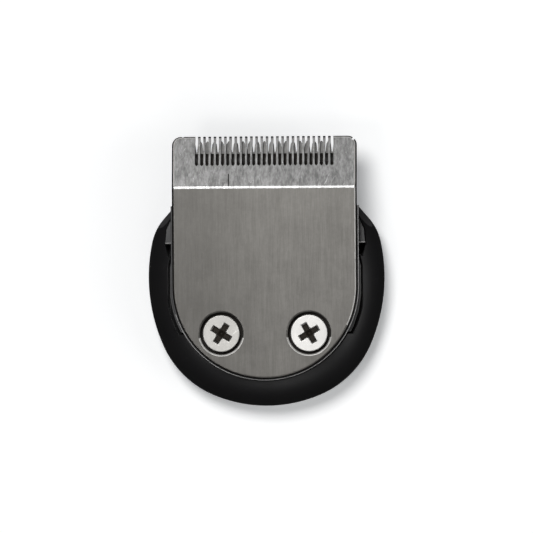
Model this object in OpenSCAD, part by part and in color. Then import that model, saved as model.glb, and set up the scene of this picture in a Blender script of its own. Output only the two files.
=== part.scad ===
// Detachable head of a hair and beard trimmer.
// The head lies on its back rim: the comb blade faces up (+Z) and its teeth point along +Y.
// The origin is on the back rim's plane, under the middle of the head's outline.

/* [Head] */
// Length over all, from the foot of the shell to the comb's tips
head_l = 46.8; // [40:0.1:56]
// Height from the back rim to the face of the comb blade
head_h = 14; // [13:0.1:18]

/* [Comb blade] */
// Width of the comb blade
blade_w = 32; // [29:0.1:34]
// Thickness of its sheet
blade_t = 0.8; // [0.5:0.05:1]
// Distance from the bend to the tips, seen from above
bend_back = 8.9; // [7:0.1:11]
// How far the toothed part leans back
bend_angle = 18; // [8:0.5:24]
// Radius inside the bend
bend_r = 0.4; // [0.2:0.05:1]
// Radius of the two front corners
blade_corner_r = 1.6; // [0.8:0.1:3]
// Width of the shell's crescent that shows below the blade's heel
heel_gap = 4.7; // [3.5:0.1:6]

/* [Comb teeth] */
// Number of slots
slot_count = 27; // [19:2:31]
// Distance from slot to slot
slot_pitch = 0.901; // [0.8:0.005:1]
// Width of a slot
slot_w = 0.51; // [0.35:0.01:0.6]
// Length of a slot along the leaning sheet, with its pointed end
slot_l = 5.5; // [4:0.1:6]
// Length of the pointed end
slot_point = 0.3; // [0.1:0.05:0.5]
// Length of the bevel on the tips of the teeth
tip_bevel = 0.25; // [0.1:0.05:0.4]

/* [Screw seats and blade screws] */
// Distance between the two screws
screw_spacing = 15.2; // [13:0.1:17]
// Distance from the blade's heel to the screws
screw_from_heel = 7.9; // [7:0.1:10]
// Diameter of the formed seat at its wall
seat_d = 7.25; // [6.9:0.05:8]
// Radius of the rounded shoulder of the seat
seat_shoulder = 0.5; // [0.2:0.05:0.8]
// Diameter of the hole in the seat's floor
seat_hole_d = 3.2; // [2.8:0.1:4]
// Diameter of the screw's head
head_d = 6.42; // [5.6:0.02:6.6]
// Height of the screw's head
head_t = 1.0; // [0.7:0.05:1.3]
// How deep the head lies under the blade's face
head_sunk = 0.15; // [0:0.05:0.4]
// Diameter of the screw's shank
shank_d = 2.2; // [1.8:0.1:2.6]
// Length of the screw's shank under its head
shank_l = 5.5; // [4:0.1:6.5]
// Length of the cross recess, tip to tip
cross_l = 3.6; // [2.6:0.1:4.2]
// Width of one arm of the cross recess
cross_w = 1.07; // [0.7:0.01:1.3]
// Depth of the arms of the cross recess
cross_depth = 0.55; // [0.3:0.05:0.6]
// Depth of the cone in the middle of the recess, below its arms
cross_cone_l = 0.7; // [0.4:0.1:1]
// Turn of the left and the right screw
screw_turns = [58, 30]; // [0:1:89]

/* [Moving blade] */
// Thickness of the moving blade
cutter_t = 0.9; // [0.6:0.05:1.2]
// Number of its teeth
cutter_teeth = 21; // [15:2:21]
// Distance from tooth to tooth
cutter_pitch = 1.235; // [1:0.005:1.25]
// Gap between two teeth at their tips
cutter_gap_tip = 0.66; // [0.4:0.01:0.8]
// Gap between two teeth at their roots
cutter_gap_root = 0.12; // [0.05:0.01:0.3]
// Length of its teeth
cutter_tooth_l = 2; // [1.5:0.1:3]
// How far its tips stay behind the comb's tips
cutter_setback = 0.7; // [0.5:0.05:1.5]
// Length of the hollow ground behind its teeth
hollow_l = 2.6; // [1.5:0.1:3.2]
// Depth of that hollow
hollow_depth = 0.5; // [0.2:0.05:0.6]
// Flat left between the teeth's roots and the hollow
hollow_land = 0.4; // [0.1:0.05:0.4]
// Flat left between the hollow and the pegs' holes
peg_land = 0.5; // [0.3:0.05:0.8]
// Distance from the bend to the back edge of the moving blade
cutter_back = 0.9; // [0.7:0.1:1.2]
// Plain width beyond the last tooth on each side
cutter_side = 0.7; // [0.4:0.1:1]
// How far the cutter slides to each side
stroke = 0.9; // [0.5:0.05:1.2]
// Gap between the two blades
blade_gap = 0.02; // [0.01:0.005:0.05]
// Diameter of the carrier's pegs in the moving blade
peg_d = 1.4; // [1:0.1:1.6]
// Gap around a peg
peg_gap = 0.02; // [0.01:0.005:0.05]
// How far the pegs' ends stay under the face of the moving blade
peg_short = 0.05; // [0.03:0.01:0.1]
// Distance between the two pegs
peg_spacing = 18; // [12:0.5:20]

/* [Shell] */
// Wall of the shell
shell_wall = 1.6; // [1.4:0.1:2]
// Radius of the shell's round back edge, from the rim up
dome_r = 6.9; // [6:0.1:7.2]
// Height of the widest line of the shell above its back rim
widest_z = 4.5; // [3.5:0.1:5]
// How much narrower the back rim is than the widest line
rim_tuck = 0.6; // [0.2:0.1:1]
// Radius of the outline at the foot
foot_r = 23.7; // [20:0.1:28]
// Radius of the outline at the foot's corners
corner_r = 16.6; // [14:0.1:19]
// Radius of the outline at the sides
side_r = 29.3; // [26:0.1:34]
// Radius of the outline at the shoulders
shoulder_r = 9; // [8:0.1:10]
// Width of the flat on each shoulder, seen from above
shoulder_flat_w = 0.95; // [0.6:0.05:1.4]
// Distance from the tips back to the shell's front wall
shell_front_back = 12.1; // [11:0.1:14]
// Height of the shell's front wall
front_wall_h = 4.2; // [3:0.1:5]
// Height of the ledge that the back cover stops at
ledge_z = 4.2; // [3.6:0.1:5]
// Width of that ledge
ledge_w = 0.9; // [0.5:0.1:1.2]
// Gap between the shell and what sits in it
fit_gap = 0.12; // [0.08:0.01:0.25]
// Gap between the shell's wall and the back cover's edge
cover_gap = 0.17; // [0.12:0.01:0.3]
// Gap between the shell's ledge and the back cover
ledge_gap = 0.02; // [0.01:0.01:0.05]

/* [Frame] */
// How far the frame's lip shows around the blade
lip = 0.25; // [0.1:0.05:0.5]
// Thickness of the deck under the blade
deck_t = 1.6; // [1.2:0.1:2]
// Wall of the frame
frame_wall = 1.3; // [1:0.1:1.6]
// How far the frame's wall stands in from the blade's edge
wall_in = 0.3; // [0.2:0.05:0.6]
// Height of the rails' top over the back rim
rail_z = 10.6; // [10:0.1:10.8]
// Thickness of the rails
rail_t = 1.0; // [0.8:0.1:1.2]
// How far a rail stands out beside the blade
rail_out = 0.55; // [0.4:0.05:0.7]
// How far the rail's curved end stands out from the blade's heel
rail_end_out = 0.9; // [0.6:0.05:1.2]
// Distance from the heel to the end of a rail
rail_end_from_heel = 8.1; // [7:0.1:9]
// Extra gap beside the rail's curved end
wedge_gap = 0.35; // [0.1:0.05:0.5]
// How far a comb lug stands out beside the blade
lug_out = 1.3; // [0.9:0.05:1.5]
// Length of a comb lug
lug_l = 5; // [4:0.1:6]
// Length of the notch behind a comb lug
notch_l = 2.2; // [1.5:0.1:3]
// Distance from the comb's tips back to the catching edge of a lug
lug_back = 18.65; // [18:0.05:19.5]
// Width of the frame's cheeks at the nose
cheek_w = 1.05; // [0.8:0.05:1.2]
// How far the cheeks stay in from the blade's sides
cheek_in = 0.5; // [0.3:0.05:0.8]
// Distance from the comb's tips back to the cheeks' front
nose_back = 4.6; // [4:0.1:6]
// Diameter of the bosses for the blade screws
boss_d = 5.4; // [4.6:0.1:6]
// Wall of the bosses for the back screws
boss_wall = 1.4; // [1:0.1:1.5]
// Thickness of the frame under a formed screw seat
seat_floor_t = 0.6; // [0.5:0.05:0.8]
// Thickness of the sloping floor under the cutter
nose_floor_t = 1.1; // [0.8:0.1:1.3]
// Distance from the front of the cheeks back to the front of that floor
nose_floor_back = 1; // [0.6:0.1:2]
// Gap between a screw's shank and its pilot hole
pilot_gap = 0.02; // [0.01:0.01:0.05]
// Gap between the frame and a formed screw seat
seat_gap = 0.1; // [0.05:0.01:0.2]

/* [Back cover] */
// Thickness of the cover
cover_t = 1.2; // [1:0.1:1.5]
// Distance from the front of the shell back to the drive's axis
drive_behind_front = 10.1; // [10:0.1:10.6]
// Inner diameter of the collar around the drive
collar_d = 14; // [12:0.1:15]
// Wall of the collar
collar_wall = 1.2; // [0.9:0.1:1.5]
// Length of the collar's bore, through the cover
collar_l = 3; // [2.5:0.1:3.4]
// Distance between the two back screws
back_screw_spacing = 23.6; // [22:0.1:24.4]
// How far in front of the drive's axis the back screws are
back_screw_ahead = 0; // [-2:0.1:2]
// Diameter of a back screw's head
back_head_d = 3.8; // [3.4:0.1:4.2]
// Height of a back screw's head
back_head_t = 0.7; // [0.5:0.1:0.9]
// Diameter of a back screw's shank
back_shank_d = 1.8; // [1.4:0.1:2]
// Length of a back screw's shank
back_shank_l = 5; // [4:0.1:6]

/* [Drive and spring] */
// Width of the carrier's bar
carrier_w = 25; // [22:0.1:26]
// Depth of the carrier's bar along the leaning plane
carrier_l = 4.2; // [3:0.1:5]
// Height of the carrier's bar
carrier_h = 1.4; // [1:0.1:1.8]
// Width of the carrier's arm
arm_w = 9; // [8:0.1:10]
// Height of the carrier's arm
arm_h = 1.6; // [1.2:0.1:1.8]
// Gap between the carrier's arm and the deck above it
arm_gap = 0.3; // [0.2:0.05:0.5]
// Width of the slot that the drive's pin runs in
fork_slot = 3.2; // [2.6:0.1:3.6]
// Length of the fork's prongs along the slot
fork_l = 6.4; // [5:0.1:7]
// Thickness of one prong
prong_w = 1.5; // [1.2:0.1:1.8]
// Height of the fork under the arm
fork_h = 4.6; // [4:0.1:4.8]
// Diameter of the fork's stem in the arm
stem_d = 3; // [2.4:0.1:4]
// Length of the step between the carrier's arm and its bar
step_l = 2.4; // [2:0.1:3]
// Distance from the deck down to the spring's foot
spring_drop = 2.6; // [2.4:0.1:2.8]
// Thickness of the spring's sheet
spring_t = 0.35; // [0.25:0.05:0.5]
// Width of one of the spring's arms
spring_arm_w = 2; // [1.5:0.1:2.2]
// Distance over both of the spring's arms
spring_w = 17; // [16:0.1:17.6]
// Length of the spring's foot
spring_foot_l = 3.4; // [3:0.1:4]
// Length of the bridge between the spring's arms
spring_bridge_l = 0.8; // [0.6:0.1:1]
// Gap between the spring and the bosses of the blade screws
spring_room = 0.4; // [0.3:0.1:1]
// How far the spring's tips reach under the carrier's bar
spring_under_bar = 1.2; // [0.8:0.1:1.6]
// Gap between the spring's tips and the carrier
spring_gap = 0.02; // [0.01:0.01:0.05]
// Height of the clip under the spring's foot
clip_t = 1.2; // [0.8:0.1:1.6]
// Distance from the drive's axis back to the clip's screw
clip_back = 6.5; // [6:0.1:7]
// Diameter of the clip screw's shank
clip_screw_d = 1.6; // [1.4:0.1:1.8]
// Length of that shank in the frame
clip_shank_l = 2.3; // [1.8:0.1:2.5]
// Diameter of the clip screw's head
clip_head_d = 3; // [2.6:0.1:3.2]
// Height of the clip screw's head
clip_head_t = 0.7; // [0.5:0.1:0.9]

/* [Catches] */
// Width of each of the two front hooks
hook_w = 4; // [3:0.1:5]
// Distance between the middles of the two front hooks
hook_spacing = 16; // [15.6:0.1:18]
// Distance from the front of the shell back to the hooks
hook_back = 3.2; // [3:0.1:3.6]
// Width of the rear catch
catch_w = 8; // [6:0.1:9]
// Distance from the blade's heel back to the rear catch
catch_behind_heel = 0.6; // [0.3:0.1:1]
// Thickness of the hooks and the catch
tongue_t = 1.2; // [1:0.1:1.5]
// Height of their ends above the back rim
tongue_foot_z = 0.5; // [0.3:0.1:0.8]
// Height of their nibs
nib_h = 0.7; // [0.5:0.1:0.8]
// How far the hook and the catch reach out at their tips
catch_nib = 0.6; // [0.4:0.1:0.8]

/* [Hidden] */
$fn = 96;

plastic = "#1e1e20";
steel = "#8c8a86";
bright_steel = "#c8c6c0";
eps = 0.01;
big = 100;

foot_y = -head_l / 2;
tip_y = head_l / 2;
heel_y = foot_y + heel_gap;
heel_r = blade_w / 2;
heel_centre_y = heel_y + heel_r;
bend_y = tip_y - bend_back;
seat_z = head_h - blade_t;
screw_y = heel_y + screw_from_heel;
screw_xs = [-screw_spacing / 2, screw_spacing / 2];
floor_z = head_h - head_sunk - head_t;

// The leaning sheet, measured along its face from the bend
lean_l = bend_back / cos(bend_angle);

// The moving blade in the leaning plane
cutter_top = -blade_t - blade_gap;
cutter_w = cutter_teeth * cutter_pitch - cutter_gap_tip + 2 * cutter_side;
cutter_tip = lean_l - cutter_setback;
hollow_front = cutter_tip - cutter_tooth_l - hollow_land;
peg_at = hollow_front - hollow_l - peg_d / 2 - peg_land;
peg_xs = [-peg_spacing / 2, peg_spacing / 2];

// The carrier's bar: its lower back corner, and the height of its underside in front of that
bar_w_low = cutter_top - cutter_t - carrier_h;
bar_y = bend_y + cutter_back * cos(bend_angle) + bar_w_low * sin(bend_angle);
bar_z = head_h - cutter_back * sin(bend_angle) + bar_w_low * cos(bend_angle);
function bar_under(y) = bar_z - (y - bar_y) * tan(bend_angle);
spring_tip_y = bar_y + spring_under_bar;

// The shell's outline as four arcs that run into each other, from the foot round to the shoulder.
// Each turn is where an arc ends, measured from straight down.
turns = [0, 23, 66, 102, 131];
radii = [foot_r, corner_r, side_r, shoulder_r];
function outward(turn) = [sin(turn), -cos(turn)];
foot_centre = [0, foot_y + foot_r];
corner_centre = foot_centre + (foot_r - corner_r) * outward(turns[1]);
side_centre = corner_centre + (corner_r - side_r) * outward(turns[2]);
shoulder_centre = side_centre + (side_r - shoulder_r) * outward(turns[3]);
centres = [foot_centre, corner_centre, side_centre, shoulder_centre];
shoulder_end = shoulder_centre + shoulder_r * outward(turns[4]);
along_shoulder = [cos(turns[4]), sin(turns[4])];
shell_front_y = tip_y - shell_front_back;
arc_steps = 8;
dome_steps = 10;
// How much deeper than the ring its hollow reaches
ring_over = 0.5;
// Both run on until their inner sides have passed the shell's front
front_run = shell_front_y + ring_over + (dome_r + ring_over) * outward(turns[4])[1];
straight_l = (front_run - shoulder_end[1]) / along_shoulder[1];

rail_end_y = heel_y + rail_end_from_heel;
lug_foot_z = 6.5;
lug_over_rail = 0.3;
deck_z = seat_z - deck_t;
nose_y = tip_y - nose_back;
cheek_x = heel_r - cheek_in;
drive_y = shell_front_y - drive_behind_front;
cover_z = ledge_z - cover_t;
back_screw_y = drive_y + back_screw_ahead;
back_screw_xs = [-back_screw_spacing / 2, back_screw_spacing / 2];
back_boss_d = back_shank_d + 2 * boss_wall;
// The boss that holds a formed screw seat, with a wall around it
seat_boss_d = seat_d + 2 * blade_t + 2;
// Gaps around a small screw's shank and around its head, where it passes through a plate
shank_gap = 0.2;
head_gap = 0.15;
arm_top = deck_z - arm_gap;
arm_z = arm_top - arm_h;
clip_y = drive_y - clip_back;
nose_foot_z = 9;
// How deep a screw's hole goes beyond its shank
hole_over = 0.5;

// The spring's foot and its clip lie between the bosses of the blade screws, the bridge in front of them
spring_z = deck_z - spring_drop;
spring_foot_w = screw_spacing - boss_d - 2 * spring_room;
spring_foot_y = [clip_y - spring_foot_l / 2, clip_y + spring_foot_l / 2];
spring_bridge_y = max(spring_foot_y[1], screw_y + boss_d / 2 + spring_room);
clip_z = spring_z - spring_t - clip_t;
clip_hole_d = clip_screw_d + 2 * shank_gap;

module both_sides() {
    children();
    mirror([1, 0, 0]) children();
}

// Puts a shape into the plane of the leaning part: +Y along its face, +Z out of it, origin at the bend
module leaning() {
    translate([0, bend_y, head_h]) rotate([-bend_angle, 0, 0]) children();
}

// One cross section of the shell's ring: how far in from the outline, and how high. Below a foot of
// zero it is the section of the hollow, which runs out through the rim and the ring's inner side.
function ring_section(inset, foot) = let (inner = dome_r + (foot < 0 ? ring_over : 0)) concat(
    foot < 0 ? [[rim_tuck + inset, foot]] : [],
    [[rim_tuck + inset, 0], [inset, widest_z]],
    [for (i = [1 : dome_steps]) let (a = 90 * i / dome_steps)
        [dome_r - (dome_r - inset) * cos(a), widest_z + (dome_r - inset) * sin(a)]],
    foot < 0 ? [[inner, widest_z + dome_r - inset]] : [],
    [[inner, foot]]
);

// The places along the right half of the outline, from the foot round to the shoulder's straight end
function half_path() = concat(
    [for (i = [0 : len(radii) - 1]) for (k = [0 : arc_steps - 1])
        let (turn = turns[i] + (turns[i + 1] - turns[i]) * k / arc_steps)
        [centres[i] + radii[i] * outward(turn), outward(turn)]],
    [[shoulder_end, outward(turns[4])],
     [shoulder_end + straight_l * along_shoulder, outward(turns[4])]]
);

// The ring's section carried along the outline, as one closed skin
module round_ring(inset, foot) {
    right = half_path();
    count = len(right);
    left = [for (i = [count - 1 : -1 : 1]) [for (pair = right[i]) [-pair[0], pair[1]]]];
    path = concat(left, right);
    section = ring_section(inset, foot);
    sides = len(section);
    points = [for (place = path) for (s = section)
        [place[0][0] - s[0] * place[1][0], place[0][1] - s[0] * place[1][1], s[1]]];
    skin = [for (i = [0 : len(path) - 2]) for (k = [0 : sides - 1]) let (
            a = i * sides + k, b = i * sides + (k + 1) % sides, c = a + sides, d = b + sides
        ) each [[a, b, d], [a, d, c]]];
    first_end = [for (k = [sides - 1 : -1 : 0]) k];
    last_end = [for (k = [0 : sides - 1]) (len(path) - 1) * sides + k];
    polyhedron(points, concat(skin, [first_end, last_end]), convexity = 8);
}

// The shell's outline as a flat shape, moved inwards
module shell_outline(inset) {
    right = [for (place = half_path()) place[0] - inset * place[1]];
    left = [for (i = [len(right) - 1 : -1 : 1]) [-right[i][0], right[i][1]]];
    intersection() {
        polygon(concat(left, right));
        translate([-big / 2, -big]) square([big, big + shell_front_y - inset]);
    }
}

// What the frame's rails and comb lugs fill, seen from above
module rail_outline(grow, end_grow) {
    lug_y = tip_y - lug_back;
    intersection() {
        translate([0, heel_centre_y]) circle(r = heel_r + rail_end_out + end_grow);
        translate([-heel_r - rail_out - grow, rail_end_y - end_grow])
            square([blade_w + 2 * (rail_out + grow), lug_y - notch_l - rail_end_y + end_grow]);
    }
}

module lug_outline(grow) {
    side = heel_r - 1;
    // the outer line as shares of the lug's reach and length: straight at its foot, then in a curve
    line = [[1, 0.1], [0.85, 0.5], [0.4, 0.75], [0, 0.95]];
    both_sides() translate([0, tip_y - lug_back]) polygon(concat(
        [[side, -grow], [heel_r + lug_out + grow, -grow]],
        [for (share = line) [heel_r + share[0] * lug_out + grow, share[1] * lug_l]],
        [[side, lug_l + 2 * grow]]
    ));
}

module notch_outline() {
    side = heel_r - 1;
    both_sides() translate([0, tip_y - lug_back]) polygon([
        [side, eps], [heel_r + lug_out + fit_gap, eps],
        [heel_r + rail_out + fit_gap, -notch_l], [side, -notch_l]
    ]);
}

// What is cut off the round edge to leave a flat on each shoulder, along the outline's straight end.
// The flat starts a little above the widest line and ends where it is as wide as it should be.
module shoulder_flats() {
    start_turn = 8;
    end_turn = acos(1 - shoulder_flat_w / dome_r);
    start_in = dome_r * (1 - cos(start_turn));
    start_z = dome_r * sin(start_turn);
    lean = atan((shoulder_flat_w - start_in) / (dome_r * sin(end_turn) - start_z));
    both_sides() translate([shoulder_end[0], shoulder_end[1], widest_z]) rotate([0, 0, turns[4]])
        translate([0, start_in, start_z]) rotate([-lean, 0, 0])
            translate([-big / 2, -big, -big / 2]) cube(big);
}

// The black ring around the blade, open at the back, with a shelf for the frame's rails
module outer_shell() {
    color(plastic) difference() {
        intersection() {
            union() {
                round_ring(0, 0);
                translate([-heel_r, shell_front_y - shell_wall, 0])
                    cube([blade_w, shell_wall, front_wall_h]);
            }
            translate([-big / 2, foot_y - 1, -1]) cube([big, shell_front_y - foot_y + 1, big]);
        }
        difference() {
            round_ring(shell_wall, -1);
            translate([0, 0, ledge_z]) linear_extrude(1) difference() {
                square(big, center = true);
                shell_outline(shell_wall + ledge_w);
            }
            // the front wall stays whole
            translate([-heel_r, shell_front_y - shell_wall, 0]) cube([blade_w, shell_wall, front_wall_h]);
        }
        shoulder_flats();
        // the way through for the frame's wall, then the seats of its rails and its lip
        translate([0, 0, ledge_z - 1]) linear_extrude(big)
            heel_outline(fit_gap - wall_in, shell_front_y + 1);
        translate([0, 0, rail_z - rail_t]) linear_extrude(big) {
            rail_outline(fit_gap, wedge_gap);
            heel_outline(lip + fit_gap, shell_front_y + 1);
        }
        translate([0, 0, lug_foot_z - fit_gap]) linear_extrude(big) {
            lug_outline(fit_gap);
            notch_outline();
        }
    }
}

// The blade's outline, moved outwards, with its round heel and straight sides, cut square at front_y
module heel_outline(grow, front_y) {
    difference() {
        union() {
            translate([0, heel_centre_y]) circle(r = heel_r + grow);
            translate([-heel_r - grow, heel_centre_y]) square([blade_w + 2 * grow, big]);
        }
        translate([-big, front_y]) square(2 * big);
    }
}

module blade_outline() {
    heel_outline(0, tip_y - blade_corner_r);
    translate([-heel_r + blade_corner_r, tip_y - 2 * blade_corner_r])
        square([blade_w - 2 * blade_corner_r, 2 * blade_corner_r]);
    for (side = [-1, 1])
        translate([side * (heel_r - blade_corner_r), tip_y - blade_corner_r]) circle(r = blade_corner_r);
}

// Side view of the bent sheet, drawn with its length along X and its height along Y
module sheet_section() {
    half_turn = bend_angle / 2;
    // the flat parts start where the bend's arc ends
    arc_back = (bend_r + blade_t) * tan(half_turn);
    reach = bend_r + 2 * blade_t;
    lap = 0.025 * blade_t;
    translate([heel_y - 1, seat_z]) square([bend_y - arc_back - heel_y + 1, blade_t]);
    translate([bend_y, head_h]) rotate(-bend_angle)
        translate([arc_back, -blade_t]) square([lean_l + 1, blade_t]);
    translate([bend_y - arc_back, head_h - blade_t - bend_r]) intersection() {
        difference() {
            circle(r = bend_r + blade_t);
            circle(r = bend_r);
        }
        // the arc laps a little over both flat parts, inside their thickness
        polygon([
            [0, 0], [-lap, reach], reach * [sin(bend_angle + 1), cos(bend_angle + 1)]
        ]);
    }
}

module fixed_blade() {
    color(steel) difference() {
        union() {
            intersection() {
                rotate([90, 0, 90]) translate([0, 0, -big / 2]) linear_extrude(big) sheet_section();
                linear_extrude(2 * head_h) blade_outline();
            }
            for (x = screw_xs) translate([x, screw_y, 0]) screw_seat();
        }
        for (x = screw_xs) translate([x, screw_y, 0]) screw_seat_hollow();
        leaning() {
            comb_slots();
            translate([0, lean_l - tip_bevel, 0]) rotate([45, 0, 0])
                translate([-big / 2, 0, -big / 2]) cube(big);
        }
    }
}

// Steel that is pressed down around a screw
module screw_seat() {
    translate([0, 0, floor_z - blade_t]) cylinder(d = seat_d + 2 * blade_t, h = seat_z - floor_z + blade_t);
}

module screw_seat_hollow() {
    translate([0, 0, floor_z]) cylinder(d = seat_d, h = big);
    translate([0, 0, floor_z - blade_t - 1]) cylinder(d = seat_hole_d, h = big);
    rotate_extrude() difference() {
        translate([0, head_h - seat_shoulder]) square([seat_d / 2 + seat_shoulder, seat_shoulder + 1]);
        translate([seat_d / 2 + seat_shoulder, head_h - seat_shoulder]) circle(r = seat_shoulder);
    }
}

module comb_slots() {
    first_x = -(slot_count - 1) / 2 * slot_pitch;
    root = lean_l - slot_l;
    translate([0, 0, -2 * blade_t]) linear_extrude(4 * blade_t)
        for (i = [0 : slot_count - 1]) translate([first_x + i * slot_pitch, root]) polygon([
            [0, 0], [slot_w / 2, slot_point], [slot_w / 2, slot_l + 1],
            [-slot_w / 2, slot_l + 1], [-slot_w / 2, slot_point]
        ]);
}

module blade_screw(x, turn) {
    color(bright_steel) translate([x, screw_y, floor_z]) difference() {
        union() {
            cylinder(d = head_d, h = head_t);
            translate([0, 0, -shank_l]) cylinder(d = shank_d, h = shank_l + eps);
        }
        rotate(turn) translate([0, 0, head_t - cross_depth]) {
            translate([-cross_l / 2, -cross_w / 2, 0]) cube([cross_l, cross_w, head_t]);
            translate([-cross_w / 2, -cross_l / 2, 0]) cube([cross_w, cross_l, head_t]);
        }
        translate([0, 0, head_t - cross_depth - cross_cone_l])
            cylinder(d1 = 0.3 * cross_w, d2 = 1.6 * cross_w, h = cross_cone_l + eps);
    }
}

module blade_screw_left() {
    blade_screw(screw_xs[0], screw_turns[0]);
}

module blade_screw_right() {
    blade_screw(screw_xs[1], screw_turns[1]);
}

// The thin steel cutter, in the leaning plane just under the comb blade
module moving_blade() {
    color(steel) leaning() translate([0, 0, cutter_top]) difference() {
        translate([0, 0, -cutter_t]) linear_extrude(cutter_t) difference() {
            translate([-cutter_w / 2, cutter_back]) square([cutter_w, cutter_tip - cutter_back]);
            for (i = [1 : cutter_teeth - 1])
                translate([(i - cutter_teeth / 2) * cutter_pitch, cutter_tip]) polygon([
                    [-cutter_gap_tip / 2, eps], [cutter_gap_tip / 2, eps],
                    [cutter_gap_root / 2, -cutter_tooth_l], [-cutter_gap_root / 2, -cutter_tooth_l]
                ]);
            for (x = peg_xs) translate([x, peg_at]) circle(d = peg_d + 2 * peg_gap);
        }
        translate([-big / 2, hollow_front - hollow_l, -hollow_depth]) cube([big, hollow_l, 1]);
    }
}

// The chassis: deck, walls, rails, comb lugs, bosses and the nose with its cheeks
module inner_frame() {
    color(plastic) difference() {
        union() {
            translate([0, 0, deck_z]) linear_extrude(deck_t) heel_outline(lip, shell_front_y);
            translate([0, 0, ledge_z]) linear_extrude(deck_z - ledge_z + eps) difference() {
                heel_outline(-wall_in, shell_front_y);
                heel_outline(-wall_in - frame_wall, shell_front_y + 1);
            }
            translate([0, 0, rail_z - rail_t]) linear_extrude(rail_t) difference() {
                rail_outline(0, 0);
                heel_outline(-wall_in - frame_wall / 2, shell_front_y);
            }
            translate([0, 0, lug_foot_z]) linear_extrude(rail_z + lug_over_rail - lug_foot_z) difference() {
                lug_outline(0);
                heel_outline(-wall_in - frame_wall / 2, tip_y);
            }
            for (x = screw_xs) translate([x, screw_y, ledge_z]) {
                cylinder(d = boss_d, h = deck_z - ledge_z + eps);
                translate([0, 0, floor_z - blade_t - ledge_z - seat_floor_t])
                    cylinder(d = seat_boss_d, h = deck_z - floor_z + blade_t + seat_floor_t + eps);
            }
            for (x = back_screw_xs) translate([x, back_screw_y, ledge_z])
                cylinder(d = back_boss_d, h = deck_z - ledge_z + eps);
            translate([0, clip_y, spring_z]) cylinder(d = spring_foot_l, h = deck_z - spring_z + eps);
            nose();
        }
        for (x = screw_xs) translate([x, screw_y, 0]) {
            translate([0, 0, floor_z - blade_t]) cylinder(d = seat_d + 2 * (blade_t + seat_gap), h = big);
            translate([0, 0, floor_z - shank_l - hole_over]) cylinder(d = shank_d + 2 * pilot_gap, h = big);
        }
        for (x = back_screw_xs) translate([x, back_screw_y, 0])
            cylinder(d = back_shank_d + 2 * pilot_gap, h = cover_z + back_head_t + back_shank_l + hole_over);
        translate([0, clip_y, 0])
            cylinder(d = clip_screw_d + 2 * pilot_gap, h = spring_z + clip_shank_l + hole_over / 2);
    }
}

// Height of the comb blade's underside at a place along Y, in front of its bend
function sheet_under(y) = seat_z - (y - bend_y) * tan(bend_angle) + blade_t * (1 - 1 / cos(bend_angle));

module nose() {
    // where the cheeks start behind the deck's front, and where the slope starts in front of it
    cheek_back = shell_front_y - frame_wall;
    slope_y = shell_front_y + 1;
    floor_front = nose_y - nose_floor_back;
    slope = (nose_foot_z - ledge_z) / (nose_y - slope_y);
    // how far behind it the slope starts on the floor's upper side
    upper_back = 0.3;
    floor_end_z = ledge_z + slope * (floor_front - slope_y);
    under = sheet_under(nose_y) - blade_gap;
    // how far behind the bend the cheeks stop touching the sheet, and the deck ends
    seat_end = 0.3;
    deck_end = 1.2;
    floor_w = 2 * cheek_x - 2 * eps;
    both_sides() translate([cheek_x, 0, 0]) rotate([90, 0, -90]) linear_extrude(cheek_w) polygon([
        [-cheek_back, ledge_z], [-slope_y, ledge_z], [-nose_y, nose_foot_z],
        [-nose_y, under], [-bend_y, sheet_under(bend_y) - blade_gap], [-bend_y + seat_end, seat_z],
        [-cheek_back, seat_z]
    ]);
    translate([-floor_w / 2, 0, 0]) rotate([90, 0, 90]) linear_extrude(floor_w) polygon([
        [shell_front_y - 1, ledge_z], [slope_y, ledge_z], [floor_front, floor_end_z],
        [floor_front, floor_end_z + nose_floor_t], [slope_y - upper_back, ledge_z + nose_floor_t],
        [shell_front_y - 1, ledge_z + nose_floor_t]
    ]);
    translate([-floor_w / 2, shell_front_y - eps, deck_z])
        cube([floor_w, bend_y - deck_end - shell_front_y, deck_t]);
}

// The slider: a bar under the moving blade, and an arm back to the drive
module cutter_carrier() {
    color("#26262a") difference() {
        union() {
            leaning() translate([0, 0, cutter_top - cutter_t - carrier_h]) {
                translate([-carrier_w / 2, cutter_back, 0]) cube([carrier_w, carrier_l, carrier_h]);
                for (x = peg_xs) translate([x, peg_at, 0])
                    cylinder(d = peg_d, h = carrier_h + cutter_t - peg_short);
            }
            translate([-arm_w / 2, drive_y - fork_l / 2, arm_z])
                cube([arm_w, bar_y - drive_y + fork_l / 2, arm_h]);
            translate([-arm_w / 2, bar_y - step_l / 2, arm_z]) cube([arm_w, step_l, bar_z - arm_z]);
        }
        translate([0, drive_y, 0]) cylinder(d = stem_d + 2 * pilot_gap, h = big);
        // nothing reaches into the moving blade
        leaning() translate([-big / 2, -big / 2, cutter_top - cutter_t])
            difference() {
                cube([big, big, big]);
                for (x = peg_xs) translate([x + big / 2, peg_at + big / 2, -1]) cylinder(d = peg_d, h = big);
            }
    }
}

// The wear piece that the motor's eccentric pin runs in, open towards the back
module drive_fork() {
    fork_w = fork_slot + 2 * prong_w;
    color("#d8d6cc") difference() {
        union() {
            translate([-fork_w / 2, drive_y - fork_l / 2, arm_z - fork_h]) cube([fork_w, fork_l, fork_h]);
            translate([0, drive_y, arm_z - eps]) cylinder(d = stem_d, h = arm_h);
        }
        translate([-fork_slot / 2, drive_y - fork_l, arm_z - fork_h - 1])
            cube([fork_slot, 2 * fork_l, fork_h]);
    }
}

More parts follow.
